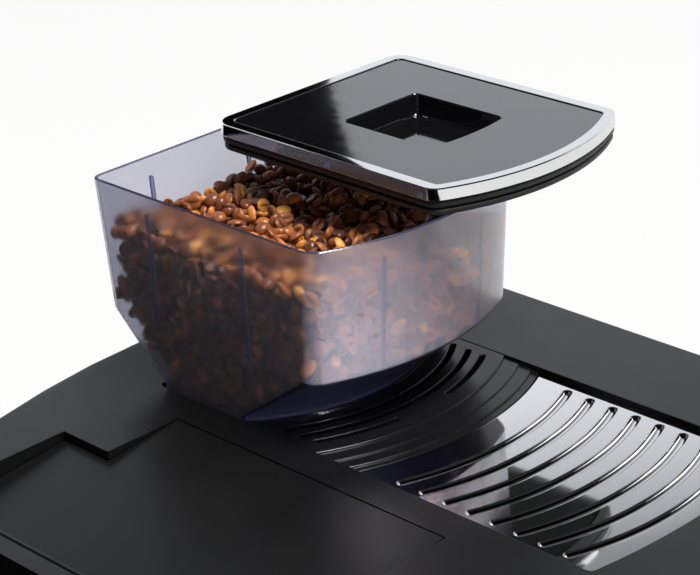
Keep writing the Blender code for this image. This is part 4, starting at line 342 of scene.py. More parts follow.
def drive(tree, socket, noise, through, entry, output):
    """Lets noise drive a socket of the shader, through a node."""
    shader = tree.nodes["Principled BSDF"]
    wire(tree, (noise, through.inputs[entry]), (through.outputs[output], shader.inputs[socket]))


def shade_between(tree, size, low, high, stretch=EVEN):
    """Lets the colour wander between two tones."""
    ramp = node(tree, "ValToRGB")
    fill_ramp(ramp, list(zip(SHADE_STOPS, (low, high))))
    drive(tree, "Base Color", pattern(tree, size, stretch), ramp, "Fac", "Color")


def gloss_between(tree, size, low, high, stretch=EVEN):
    """Lets the roughness wander between two values."""
    span = node(tree, "MapRange")
    for entry, value in zip(("From Min", "From Max", "To Min", "To Max"), (*NOISE_SPAN, low, high)):
        span.inputs[entry].default_value = value
    drive(tree, "Roughness", pattern(tree, size, stretch), span, "Value", "Result")


def grain(tree, size, depth, stretch=EVEN):
    """Adds a fine relief, depth metres high."""
    relief = node(tree, "Bump")
    relief.inputs["Distance"].default_value = depth
    drive(tree, "Normal", pattern(tree, size, stretch), relief, "Height", "Normal")


# %% [markdown]
# The casing is satin black plastic, with a fine grain that turns a reflection into a soft sheen. The lid
# plate is the same black, polished, and the vent insert half so. Gloss tells them apart, not colour.

# %% Black plastics and rubber
COLD_GLINT = (0.94, 0.97, 1.0, 1)

satin = finish(
    "satin_black", (0.005, 0.005, 0.006), 0.30,
    Specular_IOR_Level=0.46, Specular_Tint=(0.95, 0.97, 1.0, 1),
)
shade_between(satin, 0.05, (0.003, 0.0031, 0.0035), (0.0045, 0.0047, 0.005))
gloss_between(satin, 0.03, 0.28, 0.33)
grain(satin, 0.0007, 0.00002)
gloss = finish("gloss_black", (0.004, 0.004, 0.005), 0.06, IOR=2.1, Specular_Tint=COLD_GLINT)
gloss_between(gloss, 0.02, 0.045, 0.075)
grain(gloss, 0.02, 0.00003)
semi = finish(
    "insert_black", (0.006, 0.006, 0.007), 0.22, Specular_IOR_Level=0.38, Specular_Tint=COLD_GLINT
)
gloss_between(semi, 0.02, 0.19, 0.25)
grain(semi, 0.004, 0.00002)
sole = finish("sole_black", (0.003, 0.003, 0.0035), 0.6, Specular_IOR_Level=0.12)
grain(sole, 0.0007, 0.00002)
rubber = finish("black_rubber", (0.011, 0.011, 0.012), 0.55)
gloss_between(rubber, 0.01, 0.45, 0.62)
grain(rubber, 0.001, 0.00003)
print("satin, gloss and rubber")

# %% [markdown]
# Chrome is a mirror with a trace of waviness left by the pressing. Brushed and cast metals are the same
# shader, rougher. Anisotropy could stand for brushing, but stretched noise also shows single scratches.

# %% Metals
BRUSHED = (12, 1, 12)

chrome = finish("mirror_chrome", (0.73, 0.735, 0.74), 0.04, 1.0)
gloss_between(chrome, 0.03, 0.03, 0.055)
grain(chrome, 0.03, 0.000012)
steel = finish("steel", (0.56, 0.57, 0.58), 0.3, 1.0)
gloss_between(steel, 0.002, 0.24, 0.38, BRUSHED)
grain(steel, 0.001, 0.00001, BRUSHED)
aluminium = finish("cast_aluminium", (0.72, 0.73, 0.74), 0.45, 1.0)
gloss_between(aluminium, 0.004, 0.38, 0.55)
grain(aluminium, 0.0015, 0.00015)
print("chrome, steel and cast aluminium")

# %% [markdown]
# The working pieces inside are plain engineering plastics. The circuit board gets its copper tracks as
# a relief under green lacquer, since modelled ones would be lost at this size.

# %% Inner plastics, board, glass and silicone
TRACKS = (1, 1, 9)

grey = finish("grey_plastic", (0.20, 0.20, 0.21), 0.5)
shade_between(grey, 0.04, (0.18, 0.18, 0.19), (0.22, 0.22, 0.23))
grain(grey, 0.0008, 0.00003)
nylon = finish("white_nylon", (0.80, 0.80, 0.77), 0.42)
shade_between(nylon, 0.02, (0.78, 0.78, 0.74), (0.83, 0.83, 0.80))
grain(nylon, 0.001, 0.00002)
board = finish("green_board", (0.02, 0.14, 0.06), 0.35)
shade_between(board, 0.004, (0.015, 0.11, 0.045), (0.03, 0.18, 0.08), TRACKS)
grain(board, 0.002, 0.00008, TRACKS)
gloss_between(finish("dark_glass", (0.010, 0.012, 0.016), 0.04), 0.02, 0.03, 0.05)
red = finish("red_plastic", (0.55, 0.03, 0.02), 0.3)
shade_between(red, 0.004, (0.50, 0.025, 0.018), (0.60, 0.035, 0.022))
silicone = finish("clear_silicone", (0.82, 0.82, 0.78), 0.3, Transmission_Weight=0.7)
gloss_between(silicone, 0.004, 0.22, 0.38)
print(len(FINISHES), "finishes so far")

# %% [markdown]
# The hopper is a blue-violet clear moulding, and the water tank a smoked one. Clear plastic looks deeper
# where light runs along inside it. Absorption would show that, but four tints are easier to match: wall,
# rim edge, ribs and the front of the foot. The rim edge's deeper tint is painted dark reflection, the
# ribs' tint is deepened with painted shade, and the foot's near black is painted shade. A rough coat
# makes the walls a little dull. To shadow rays, which don't bend, each clear finish is a plain colour
# filter that lets light through.

# %% Clear plastics
CLEARS = {
    "smoked_clear": ((0.30, 0.33, 0.37), 0.08, 0.9, (0.02, 0.05, 0.12), (0.6, 0.62, 0.65)),
    "tinted_clear": ((0.61, 0.615, 0.69), 0.15, 0.94, (0.02, 0.17, 0.22), (0.47, 0.465, 0.575)),
    # Rim edge: painted dark reflection; ribs: tint deepened with painted shade; foot: painted shade
    "rim_painted_dark_reflection": ((0.10, 0.10, 0.20), 0.12, 0.85, (0.02, 0.10, 0.14), (0.45, 0.45, 0.52)),
    "rib_tint_and_painted_shade": ((0.36, 0.36, 0.56), 0.12, 0.9, (0.01, 0.08, 0.14), (0.5, 0.5, 0.6)),
    "hopper_foot_painted_shade": ((0.005, 0.005, 0.011), 0.16, 0.12, (0.02, 0.12, 0.20), (0.1, 0.1, 0.12)),
}
DULL_COAT = {"tinted_clear": {"Coat_Weight": 0.6, "Coat_Roughness": 0.42}}


def blend_into(tree, share, other):
    """Shows another shader instead of the surface's own, by a share."""
    either = node(tree, "MixShader")
    wire(
        tree,
        (share, either.inputs["Fac"]),
        (tree.nodes["Principled BSDF"].outputs[0], either.inputs[1]),
        (other.outputs[0], either.inputs[2]),
        (either.outputs[0], tree.nodes["Material Output"].inputs["Surface"]),
    )


for name, (colour, roughness, share, wander, filtered) in CLEARS.items():
    tree = finish(name, colour, roughness, Transmission_Weight=share, **DULL_COAT.get(name, {}))
    gloss_between(tree, *wander)
    clear = node(tree, "BsdfTransparent")
    clear.inputs["Color"].default_value = (*filtered, 1)
    blend_into(tree, for_rays(tree, "Shadow"), clear)
print("clear plastics:", *CLEARS)

# %% [markdown]
# The frame names a finish for every piece, so the new surfaces go on in one loop. Only the lid's lower
# shell, which lies in the lid's own shadow, gets a deeper black.

# %% Dress the frame
SLOT_OF = {part["node"]: part["material_slot"] for part in frame["record"]["subparts"]}
for piece, thing in NODES.items():
    thing.data.materials.clear()
    thing.data.materials.append(FINISHES[SLOT_OF[piece]])
NODES["hopper_lid_sole"].data.materials[0] = FINISHES["sole_black"]
print("dressed", len(SLOT_OF), "pieces")

# %% [markdown]
# ## Outlines and skins
# Hopper, lid, tray and vent insert share one kind of plan, with a front edge that bows outwards. Curve
# objects could draw it, but a plan that changes with height is simpler as points: one function draws
# it, and another skins a stack of such outlines.

# %% A bowed plan
FINE_BOW = 40
FINE_CORNER = 8


def arc(x, y, radius, start, end, steps):
    """Points on a level arc, between two angles off straight ahead."""
    turns = [start + (end - start) * i / steps for i in range(steps + 1)]
    return [(x + radius * math.sin(a), y - radius * math.cos(a)) for a in turns]


def bowed_plan(middle, half, rear, apex, bow, front_round, rear_round, bow_steps=FINE_BOW):
    """A plan outline from the left end of the bow, anticlockwise."""
    side = half - front_round
    drop = math.sqrt((bow - front_round) ** 2 - side ** 2)
    swing = math.asin(side / (bow - front_round))
    centre = apex + bow
    quarter = math.pi / 2
    inner = half - rear_round
    back = rear - rear_round
    end = 4 * quarter - swing
    points = arc(middle, centre, bow, -swing, swing, bow_steps)
    points += arc(middle + side, centre - drop, front_round, swing, quarter, FINE_CORNER)[1:]
    points += arc(middle + inner, back, rear_round, quarter, 2 * quarter, FINE_CORNER)
    points += arc(middle - inner, back, rear_round, 2 * quarter, 3 * quarter, FINE_CORNER)
    points += arc(middle - side, centre - drop, front_round, 3 * quarter, end, FINE_CORNER)
    return points[:-1]


def at_height(outline, height):
    """Lifts a plan outline to a height."""
    return [(x, y, height) for x, y in outline]


# %% [markdown]
# Mouldings have no sharp corners. A bevel modifier could round them later, but a section that is rounded
# first gives each corner its own radius. End corners that only give a direction are cut off again.

# %% Rounded sections
EDGE_STEPS = 4
AWAY = 0.003


def rounded(corners, steps=EDGE_STEPS):
    """A section of (inset, height, radius) corners, with each corner turned into an arc."""
    points = []
    for i, (inset, height, radius) in enumerate(corners):
        here = Vector((inset, height))
        if radius == 0:
            points.append(tuple(here))
            continue
        before = (Vector(corners[i - 1][:2]) - here).normalized()
        after = (Vector(corners[(i + 1) % len(corners)][:2]) - here).normalized()
        half = before.angle(after) / 2
        centre = here + (before + after).normalized() * (radius / math.sin(half))
        first = here + before * (radius / math.tan(half)) - centre
        last = here + after * (radius / math.tan(half)) - centre
        for k in range(steps + 1):
            points.append(tuple(centre + first.slerp(last, k / steps) * radius))
    return points


# %% Skins and flat areas
def skin(shape, rings, closed=False):
    """Joins rings of equal count with faces, from the first to the last, and returns their points."""
    loops = [[shape.verts.new(point) for point in ring] for ring in rings]
    pairs = list(zip(loops, loops[1:]))
    if closed:
        pairs.append((loops[-1], loops[0]))
    for lower, upper in pairs:
        for i, vert in enumerate(lower):
            j = (i + 1) % len(lower)
            shape.faces.new((vert, lower[j], upper[j], upper[i]))
    return loops


def cap(shape, *loops):
    """Closes each of some rings of points with one face."""
    for loop in loops:
        shape.faces.new(loop)


def ring_edges(shape, loops):
    """The edges along closed rings of points."""
    return [shape.edges.get((loop[i - 1], loop[i])) for loop in loops for i in range(len(loop))]


def holed(shape, outer, *holes):
    """Fills the area between an outline and its holes."""
    bmesh.ops.triangle_fill(shape, use_beauty=True, edges=ring_edges(shape, [outer, *holes]))


# %% [markdown]
# Each shape becomes an object that rides on a body of the frame, so joints still move it. An angle tells
# which edges stay crisp, and weighted normals keep wide areas flat beside their small rounds.

# %% From a shape to a piece
SHARP = math.radians(32)


def made(name, shape, body, slot, *replaced):
    """Turns a shape into a named piece on a body, in a finish, in place of frame pieces."""
    bmesh.ops.recalc_face_normals(shape, faces=shape.faces)
    mesh = bpy.data.meshes.new(name)
    shape.to_mesh(mesh)
    shape.free()
    mesh.shade_smooth()
    mesh.set_sharp_from_angle(angle=SHARP)
    mesh.materials.append(FINISHES[slot])
    thing = placed(name, mesh)
    thing.modifiers.new("even_shading", "WEIGHTED_NORMAL").keep_sharp = True
    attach(thing, body)
    if replaced:
        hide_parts(*replaced)
    print(name, "has", len(mesh.polygons), "faces")
    return thing


# %% [markdown]
# ## Bean hopper
# The hopper is a thin clear moulding. Its walls lean out a little, and below the knee they run in to a
# narrow foot. A solidify modifier could thicken a single sheet. Here one skin goes up the outside, over
# the rounded rim and down the inside, so light is bent by two real surfaces.

# %% Hopper outlines
MIDDLE = 0.0443
WALL = 0.002
FOOT_SEAT = -0.0077
FOOT_RISE = 0.002
KNEE_RISE = 0.0372
RIM_RISE = 0.1116
# Half width, rear, apex of the bow, radius of the bow, front and rear corner radius
FOOT = (0.0730, 0.1525, 0.0577, 0.103, 0.004, 0.004)
KNEE = (0.0742, 0.1900, 0.0145, 0.156, 0.012, 0.006)
RIM = (0.0758, 0.1960, 0.0100, 0.153, 0.012, 0.006)
INWARDS = (-1, -1, 1, -1, -1, -1)


def hopper_sizes(height, inset):
    """The hopper's sizes at a height, or at many, over the machine's top."""
    low = np.clip((height - FOOT_RISE) / (KNEE_RISE - FOOT_RISE), 0, 1)
    high = np.clip((height - KNEE_RISE) / (RIM_RISE - KNEE_RISE), 0, 1)
    table = zip(FOOT, KNEE, RIM, INWARDS)
    return [f + (k - f) * low + (r - k) * high + sign * inset for f, k, r, sign in table]


def hopper_ring(height, inset=0.0):
    """The hopper's outline at a height over the machine's top."""
    return at_height(bowed_plan(MIDDLE, *hopper_sizes(height, inset)), TOP + height)


print("hopper outline of", len(hopper_ring(0)), "points")

# %% Skin the hopper
RIM_ROUND = 0.0005
FLOOR_RISE = FOOT_SEAT + 0.0025
NECK_PLACE = (MIDDLE, 0.112)
NECK_RADIUS = 0.024
NECK_LOW = TOP - 0.020
NECK_STEPS = 40
CUT = 0.0006


def circle(radius, height):
    """A ring round the outlet neck."""
    x, y = NECK_PLACE
    turns = [math.tau * i / NECK_STEPS for i in range(NECK_STEPS)]
    return [(x + radius * math.cos(a), y + radius * math.sin(a), height) for a in turns]


hopper = bmesh.new()
bends = [KNEE_RISE + CUT, KNEE_RISE - CUT, FOOT_RISE + CUT]
outside = [FOOT_SEAT, FOOT_RISE - CUT, *bends[::-1], RIM_RISE - RIM_ROUND]
spots = [(height, 0) for height in outside]
spots += [(RIM_RISE, RIM_ROUND), (RIM_RISE, WALL - RIM_ROUND), (RIM_RISE - RIM_ROUND, WALL)]
spots += [(height, WALL) for height in [*bends, FLOOR_RISE]]
loops = skin(hopper, [hopper_ring(*spot) for spot in spots])
neck = skin(hopper, [
    circle(NECK_RADIUS, TOP + FOOT_SEAT), circle(NECK_RADIUS, NECK_LOW),
    circle(NECK_RADIUS - WALL, NECK_LOW), circle(NECK_RADIUS - WALL, TOP + FLOOR_RISE),
])
holed(hopper, loops[0], neck[0])
holed(hopper, loops[-1], neck[-1])
around = len(loops[0])
print("hopper skin of", len(loops), "rings")

# %% [markdown]
# The rim's edge is tinted with painted dark reflection, the front of the foot with painted shade. They
# are faces of the same moulding, so each face is told which of the piece's three surfaces it uses.

# %% Tint the rim with painted dark reflection and the foot with painted shade
# Surfaces: the plastic, the rim edge's painted dark reflection and the foot's painted shade
CLEAR, RIM_PAINTED_REFLECTION, FOOT_PAINTED_SHADE = range(3)
for number, face in enumerate(hopper.faces):
    height = face.calc_center_median().z - TOP
    spot = (number + FINE_CORNER) % around
    if height < KNEE_RISE and spot < FINE_BOW + 2 * FINE_CORNER:
        face.material_index = FOOT_PAINTED_SHADE
    else:
        face.material_index = RIM_PAINTED_REFLECTION if height > RIM_RISE - RIM_ROUND else CLEAR
hopper_shell = made("hopper_shell", hopper, "hopper", "tinted_clear", "bean_hopper")
# The rim edge's painted dark reflection and the foot's painted shade
hopper_shell.data.materials.append(FINISHES["rim_painted_dark_reflection"])
hopper_shell.data.materials.append(FINISHES["hopper_foot_painted_shade"])
in_haze.objects.link(hopper_shell)

# %% [markdown]
# Slim upright ribs stiffen the walls from inside, two on each. An array modifier could repeat one, but
# each wall leans in its own way. So each rib finds its place on the wall and is a small skinned capsule.

# %% Where a rib stands
RIB_HALF = 0.0011
RIB_DEEP = 0.0012
RIB_LOW = 0.036
RIB_HIGH = 0.101
RIB_SIDES = (0.0810, 0.1524)
RIB_SPREAD = 0.036
RIB_STEPS = 6


def wall_spot(height, kind, along):
    """A point on the inside of a wall, with the direction that leads into the hopper."""
    xs, ys, _ = zip(*hopper_ring(height, WALL))
    if kind in ("left", "right"):
        x, inwards = (min(xs), 1) if kind == "left" else (max(xs), -1)
        return Vector((x, along, TOP + height)), Vector((inwards, 0, 0))
    if kind == "rear":
        return Vector((MIDDLE + along, max(ys), TOP + height)), Vector((0, -1, 0))
    bow = RIM[3] - WALL
    slope = math.asin(along / bow)
    spot = Vector((MIDDLE + along, min(ys) + bow * (1 - math.cos(slope)), TOP + height))
    return spot, Vector((-math.sin(slope), math.cos(slope), 0))


places = [(side, y) for side in ("left", "right") for y in RIB_SIDES]
places += [(side, x) for side in ("rear", "front") for x in (-RIB_SPREAD, RIB_SPREAD)]
print(len(places), "ribs to make")

# %% Ribs on the walls
ribs = bmesh.new()
for kind, along in places:
    low, inwards = wall_spot(RIB_LOW + RIB_HALF, kind, along)
    high, _ = wall_spot(RIB_HIGH - RIB_HALF, kind, along)
    run = (high - low).normalized()
    across = run.cross(inwards).normalized()
    capsule = []
    for end, sign in ((low, -1), (high, 1)):
        for i in range(RIB_STEPS + 1):
            turn = math.pi * i / RIB_STEPS
            capsule.append(end + sign * RIB_HALF * (math.sin(turn) * run - math.cos(turn) * across))
    inner = [p + inwards * RIB_DEEP for p in capsule]
    cap(ribs, *skin(ribs, [[p - inwards * CUT for p in capsule], inner]))
# The ribs' tint is deepened with painted shade for their dark outlines
hopper_ribs = made("hopper_ribs", ribs, "hopper", "rib_tint_and_painted_shade")

# %% [markdown]
# ## Coffee beans
# A roasted bean is half an egg, rounded on one side and nearly flat on the other, with a crease along
# the flat side. One could be sculpted, but a formula also tells how deep in the crease a point lies.

# %% One bean
BEAN = (0.0049, 0.0038, 0.0029)
FLAT_SHARE = 0.42
CREASE_WIDTH = 0.2
CREASE_DEPTH = 0.34
CREASE_BEND = 0.06
CREASE_WAVES = 3


def bean_point(tilt, turn):
    """A point of the bean and its share of the crease."""
    x, y, z = math.cos(tilt), math.sin(tilt) * math.cos(turn), math.sin(tilt) * math.sin(turn)
    dent = 0
    if z < 0:
        off_crease = (y + CREASE_BEND * math.sin(CREASE_WAVES * x)) / CREASE_WIDTH
        dent = math.exp(-off_crease ** 2) * (1 - x * x)
        z = z * FLAT_SHARE + CREASE_DEPTH * dent
    return (x * BEAN[0], y * BEAN[1], z * BEAN[2]), dent


def bean_model(around, along):
    """Points, triangles and crease shares of one bean, whose crease faces down."""
    points, crease = [(BEAN[0], 0, 0)], [0]
    for i in range(1, along):
        for j in range(around):
            point, dent = bean_point(math.pi * i / along, math.tau * j / around)
            points.append(point)
            crease.append(dent)
    points.append((-BEAN[0], 0, 0))
    crease.append(0)
    last = len(points) - 1
    faces = []
    for j in range(around):
        k = (j + 1) % around
        faces.append((0, 1 + j, 1 + k))
        faces.append((last, last - around + k, last - around + j))
        for i in range(along - 2):
            a, b = 1 + i * around, 1 + (i + 1) * around
            faces.append((a + j, b + j, b + k))
            faces.append((a + j, b + k, a + k))
    return np.array(points), np.array(faces), np.array(crease)


print("a bean is", 2 * BEAN[0], "m long")

# %% [markdown]
# Only beans near a wall or the top can be seen, so the heap is a crust of them. A physics run could drop
# them in, but it is slow and hard to repeat. So they start on a loose grid and are pushed apart. First
# comes how much room there is for them.

# %% Room for the beans
HEAP_LEVEL = 0.0855
SWELL = 0.0022
SWELL_WAVES = (75, 60)
SWELL_SHIFT = 1
RIPPLE = 0.001
RIPPLE_WAVES = (190, 160)


def front_at(x, apex, bow):
    """The y of the bowed front at x."""
    return apex + bow - np.sqrt(np.maximum(bow ** 2 - (x - MIDDLE) ** 2, 0))


def wall_depths(points):
    """How far each point lies inside the left, right, rear and front walls."""
    half, rear, apex, bow, *_ = hopper_sizes(points[:, 2], WALL)
    dx = points[:, 0] - MIDDLE
    front = front_at(points[:, 0], apex, bow)
    return np.stack([half + dx, half - dx, rear - points[:, 1], points[:, 1] - front], axis=1)


def heap_top(points):
    """The height of the heap's surface: nearly level, with a shallow roll."""
    x, y = points[:, 0], points[:, 1]
    swell = SWELL * np.sin(x * SWELL_WAVES[0] + SWELL_SHIFT) * np.cos(y * SWELL_WAVES[1])
    return HEAP_LEVEL + swell + RIPPLE * np.sin(x * RIPPLE_WAVES[0] + y * RIPPLE_WAVES[1])


print("the heap's level is", HEAP_LEVEL, "m over the top")

# %% [markdown]
# The grid's layers are shifted against each other and then shaken. Spots deep in the heap are dropped,
# and so are those low down in front, where the foot's painted shade hides all but odd bits of them.

# %% Spots on a grid
HEAP_SEED = 21
BEAN_PITCH = 0.0069
LAYER_SHARE = 0.8
CRUST = 0.0125
GAP = 0.0032
FOOT_CLEAR = 0.016
BOTTOM = 0.002
GRID_TOP = 0.1
GRID_MIDDLE = (MIDDLE, 0.10)
GRID_SPAN = (-0.10, 0.11)
JITTER = BEAN_PITCH / 6

chance = np.random.default_rng(HEAP_SEED)
steps = np.arange(*GRID_SPAN, BEAN_PITCH)
layers = []
for layer, height in enumerate(np.arange(BOTTOM, GRID_TOP, BEAN_PITCH * LAYER_SHARE)):
    shift = (layer % 2) * BEAN_PITCH / 2
    x, y = np.meshgrid(*(middle + steps + shift for middle in GRID_MIDDLE))
    layers.append(np.stack([x.ravel(), y.ravel(), np.full(x.size, height)], axis=1))
spots = np.concatenate(layers)
spots += chance.normal(0, JITTER, spots.shape)
below = heap_top(spots) - spots[:, 2]
depth = wall_depths(spots).min(axis=1)
near_foot = (wall_depths(spots)[:, 3] < FOOT_CLEAR) & (spots[:, 2] < KNEE_RISE)
in_crust = (depth < CRUST) | (below < CRUST)
spots = spots[(depth > GAP) & (below > 0) & in_crust & ~near_foot]
print(len(spots), "spots near a wall or the top")

# %% [markdown]
# Two beans closer than the reach push each other away, each by half of what is missing. A tree of points
# finds the neighbours fast.

# %% Push the beans apart
ROUNDS = 14
REACH = 0.0066
OVER_TOP = 0.001


def kept_in(points):
    """Moves points that have strayed back into the hopper."""
    points[:, 2] = np.clip(points[:, 2], BOTTOM, heap_top(points) + OVER_TOP)
    half, rear, apex, bow, *_ = hopper_sizes(points[:, 2], WALL + GAP)
    points[:, 0] = np.clip(points[:, 0], MIDDLE - half, MIDDLE + half)
    points[:, 1] = np.clip(points[:, 1], front_at(points[:, 0], apex, bow), rear)
    return points


for _ in range(ROUNDS):
    finder = KDTree(len(spots))
    for i, spot in enumerate(spots):
        finder.insert(spot, i)
    finder.balance()
    push = np.zeros_like(spots)
    for i, spot in enumerate(spots):
        for near, j, distance in finder.find_range(spot, REACH):
            if j != i and distance > 0:
                push[i] += (spot - np.array(near)) / distance * (REACH - distance) / 2
    spots = kept_in(spots + push)
print(len(spots), "beans pushed apart in", ROUNDS, "rounds")

# %% [markdown]
# A bean tends to lie with its flat or its round side against the wall, or up. So each is turned to face
# the nearest wall or the top, tilted a little at random, and then spun.

# %% Turn the beans
TILT = 0.36
TOP_TILT = 0.9
ROUND_OR_FLAT = (0.45, 0.55)
FACINGS = np.array([(-1, 0, 0), (1, 0, 0), (0, 1, 0), (0, -1, 0), (0, 0, 1)], dtype=float)
FACING_UP = len(FACINGS) - 1


def turned(spots):
    """A random rotation matrix for each bean."""
    below = heap_top(spots) - spots[:, 2]
    walls = wall_depths(spots)
    facing = np.argmin(np.column_stack([walls, below + GAP / 2]), axis=1)
    away = FACINGS[facing] * chance.choice((-1, 1), (len(spots), 1), p=ROUND_OR_FLAT)
    tilt = np.where(facing == FACING_UP, TOP_TILT, TILT)
    away += chance.normal(0, 1, spots.shape) * tilt[:, None]
    away /= np.linalg.norm(away, axis=1, keepdims=True)
    side = np.cross(away, chance.normal(0, 1, spots.shape))
    side /= np.linalg.norm(side, axis=1, keepdims=True)
    return np.stack([side, np.cross(away, side), -away], axis=2)


turns = turned(spots)
print(len(turns), "beans turned")

# %% [markdown]
# Roasting turns beans from straw to nearly black, and no two go equally far. One finish does for all:
# each bean carries its tone on its points, and noise marbles it. The crease is darkened as painted
# shade.

# %% Roasted skin
ROASTS = (
    (0.12, (0.090, 0.026, 0.011)), (0.34, (0.190, 0.056, 0.020)), (0.54, (0.310, 0.096, 0.030)),
    (0.70, (0.450, 0.150, 0.042)), (0.84, (0.680, 0.265, 0.055)), (0.97, (0.860, 0.440, 0.090)),
)
MARBLING = 0.22
# Painted shade multiplied into each bean's crease
CREASE_PAINTED_SHADE = (0.16, 0.13, 0.12, 1)

bean_skin = finish("roasted_bean", (0.2, 0.08, 0.03), 0.38)
tone = node(bean_skin, "Attribute", attribute_name="tone")
crease = node(bean_skin, "Attribute", attribute_name="crease")
roast = node(bean_skin, "ValToRGB")
fill_ramp(roast, ROASTS)
marbled = node(bean_skin, "Math", operation="MULTIPLY_ADD")
marbled.inputs[1].default_value = MARBLING
centred = node(bean_skin, "Math", operation="ADD")
centred.inputs[1].default_value = -MARBLING / 2
darker = node(bean_skin, "Mix", data_type="RGBA", blend_type="MULTIPLY")
darker.inputs["B"].default_value = CREASE_PAINTED_SHADE
wire(
    bean_skin,
    (pattern(bean_skin, 0.0035, detail=4.0), marbled.inputs[0]),
    (tone.outputs["Fac"], marbled.inputs[2]),
    (marbled.outputs[0], centred.inputs[0]),
    (centred.outputs[0], roast.inputs["Fac"]),
    (crease.outputs["Fac"], darker.inputs["Factor"]),
    (roast.outputs["Color"], darker.inputs["A"]),
    (darker.outputs["Result"], bean_skin.nodes["Principled BSDF"].inputs["Base Color"]),
)
gloss_between(bean_skin, 0.004, 0.24, 0.42)
grain(bean_skin, 0.0009, 0.00012)
print("roasted skin with", len(ROASTS), "tones")

# %% [markdown]
# Separate objects would be slow, so two meshes hold all beans, filled straight from arrays. Those on top
# have no wall before them and get three times as many points.

# %% Build the beans
SIZE_SPREAD = 0.075
TONE_SHAPE = (2.2, 2.6)
# Points round a bean, points along it, and how pale the palest is, raised on top as painted light
# and lowered at the walls as painted shade
ON_TOP = (24, 12, 1.07)
AT_WALLS = (12, 8, 0.93)


def heap_mesh(name, spots, turns, around, along, palest):
    """One mesh of many beans, with a tone and a crease share on each of its points."""
    points, faces, crease = bean_model(around, along)
    count = len(spots)
    sizes = chance.normal(1, SIZE_SPREAD, (count, 1, 3))
    place = np.einsum("nij,npj->npi", turns, points[None] * sizes) + spots[:, None]
    place[..., 2] += TOP
    corners = faces[None] + (np.arange(count) * len(points))[:, None, None]
    mesh = bpy.data.meshes.new(name)
    mesh.vertices.add(count * len(points))
    mesh.vertices.foreach_set("co", place.ravel())
    mesh.loops.add(corners.size)
    mesh.loops.foreach_set("vertex_index", corners.ravel().astype(np.int32))
    mesh.polygons.add(corners.size // 3)
    mesh.polygons.foreach_set("loop_start", np.arange(0, corners.size, 3, dtype=np.int32))
    mesh.update(calc_edges=True)
    mesh.shade_smooth()
    tones = np.repeat(np.clip(chance.beta(*TONE_SHAPE, count) * palest, 0, 1), len(points))
    for label, values in (("tone", tones), ("crease", np.tile(crease, count))):
        shares = mesh.attributes.new(label, "FLOAT", "POINT")
        shares.data.foreach_set("value", values.astype(np.float32))
    mesh.materials.append(FINISHES["roasted_bean"])
    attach(placed(name, mesh), "hopper")
    print(name, count, "beans,", len(mesh.polygons), "faces")


seen_bare = heap_top(spots) - spots[:, 2] < BEAN_PITCH
heap_mesh("beans_on_top", spots[seen_bare], turns[seen_bare], *ON_TOP)
heap_mesh("beans_at_walls", spots[~seen_bare], turns[~seen_bare], *AT_WALLS)

# %% [markdown]
# One must not see through the heap between the outer beans. A core closes it: the hopper's own outline
# again, drawn in, and dark like the shade between beans.

# %% The heap's core
CORE_INSET = 0.0105
CORE_RINGS = 8

shade = finish("bean_shade", (0.012, 0.006, 0.004), 0.9)
shade_between(shade, 0.005, (0.006, 0.003, 0.002), (0.020, 0.009, 0.006))
core = bmesh.new()
levels = np.linspace(FOOT_RISE + CORE_INSET / 2, HEAP_LEVEL - CORE_INSET, CORE_RINGS)
loops = skin(core, [hopper_ring(height, WALL + CORE_INSET) for height in levels])
cap(core, loops[0], loops[-1])
made("beans_core", core, "hopper", "bean_shade")

# %% [markdown]
# ## Hopper lid
# The lid lies askew on the hopper. Its bright rim has a flat top and a crisp, slightly rounded edge. It
# could be a bevelled curve, but it is narrower in front. So it is a closed section, skinned round an
# outline whose inset is smaller there.

# %% The rim
LID_MIDDLE = 0.115
LID_PLAN = (0.075, 0.176, -0.007, 0.148, 0.01, 0.012)
LID_TOP = 0.4741
LID_BAND_LOW = 0.4674
BAND_LEAN = 0.0006
BORDER = 0.0078
FRONT_SHARE = 0.83
LEAST_ROUND = 0.001


def lid_ring(inset, height):
    """The lid's outline, drawn in by an inset that is narrower at the front."""
    half, rear, apex, bow, front_round, rear_round = LID_PLAN
    front = inset * FRONT_SHARE
    corners = max(front_round - inset, LEAST_ROUND), max(rear_round - inset, LEAST_ROUND)
    plan = bowed_plan(LID_MIDDLE, half - inset, rear - inset, apex + front, bow - front, *corners)
    return at_height(plan, height)


rim = bmesh.new()
rim_section = rounded([
    (0, LID_BAND_LOW, 0.0004), (BAND_LEAN, LID_TOP, 0.0007),
    (BORDER, LID_TOP, 0.0004), (BORDER, LID_BAND_LOW, 0),
])
skin(rim, [lid_ring(*spot) for spot in rim_section], closed=True)
lid_rim = made("lid_rim", rim, "hopper_lid", "mirror_chrome", "hopper_lid_rim")
keep_from_key(lid_rim)

# %% [markdown]
# Below the rim sits a soft seal with two lips. It is made in the same way from a section of its own,
# because its lips follow the lid's outline.

# %% The gasket
GASKET_LOW = 0.4589
GASKET_TOP = 0.4671
GASKET_IN = 0.0082

gasket = bmesh.new()
gasket_section = rounded([
    (GASKET_IN, GASKET_LOW, 0), (0.0019, GASKET_LOW, 0.0010), (0.0016, 0.4618, 0.0008),
    (0.0046, 0.4625, 0.0003), (0.0046, 0.4631, 0.0003), (0.0010, 0.4634, 0.0008),
    (0.0010, 0.4666, 0.0013), (0.0044, GASKET_TOP, 0), (GASKET_IN, GASKET_TOP, 0),
])
skin(gasket, [lid_ring(*spot) for spot in gasket_section], closed=True)
made("lid_gasket", gasket, "hopper_lid", "black_rubber", "hopper_lid_gasket")

# %% [markdown]
# The polished plate lies a little below the rim and has a deep finger pocket, with a round tab for the
# thumb in its front left corner. A boolean could cut the pocket, but it leaves poor edges in gloss, so
# the plate's top is filled round the pocket's rounded mouth.

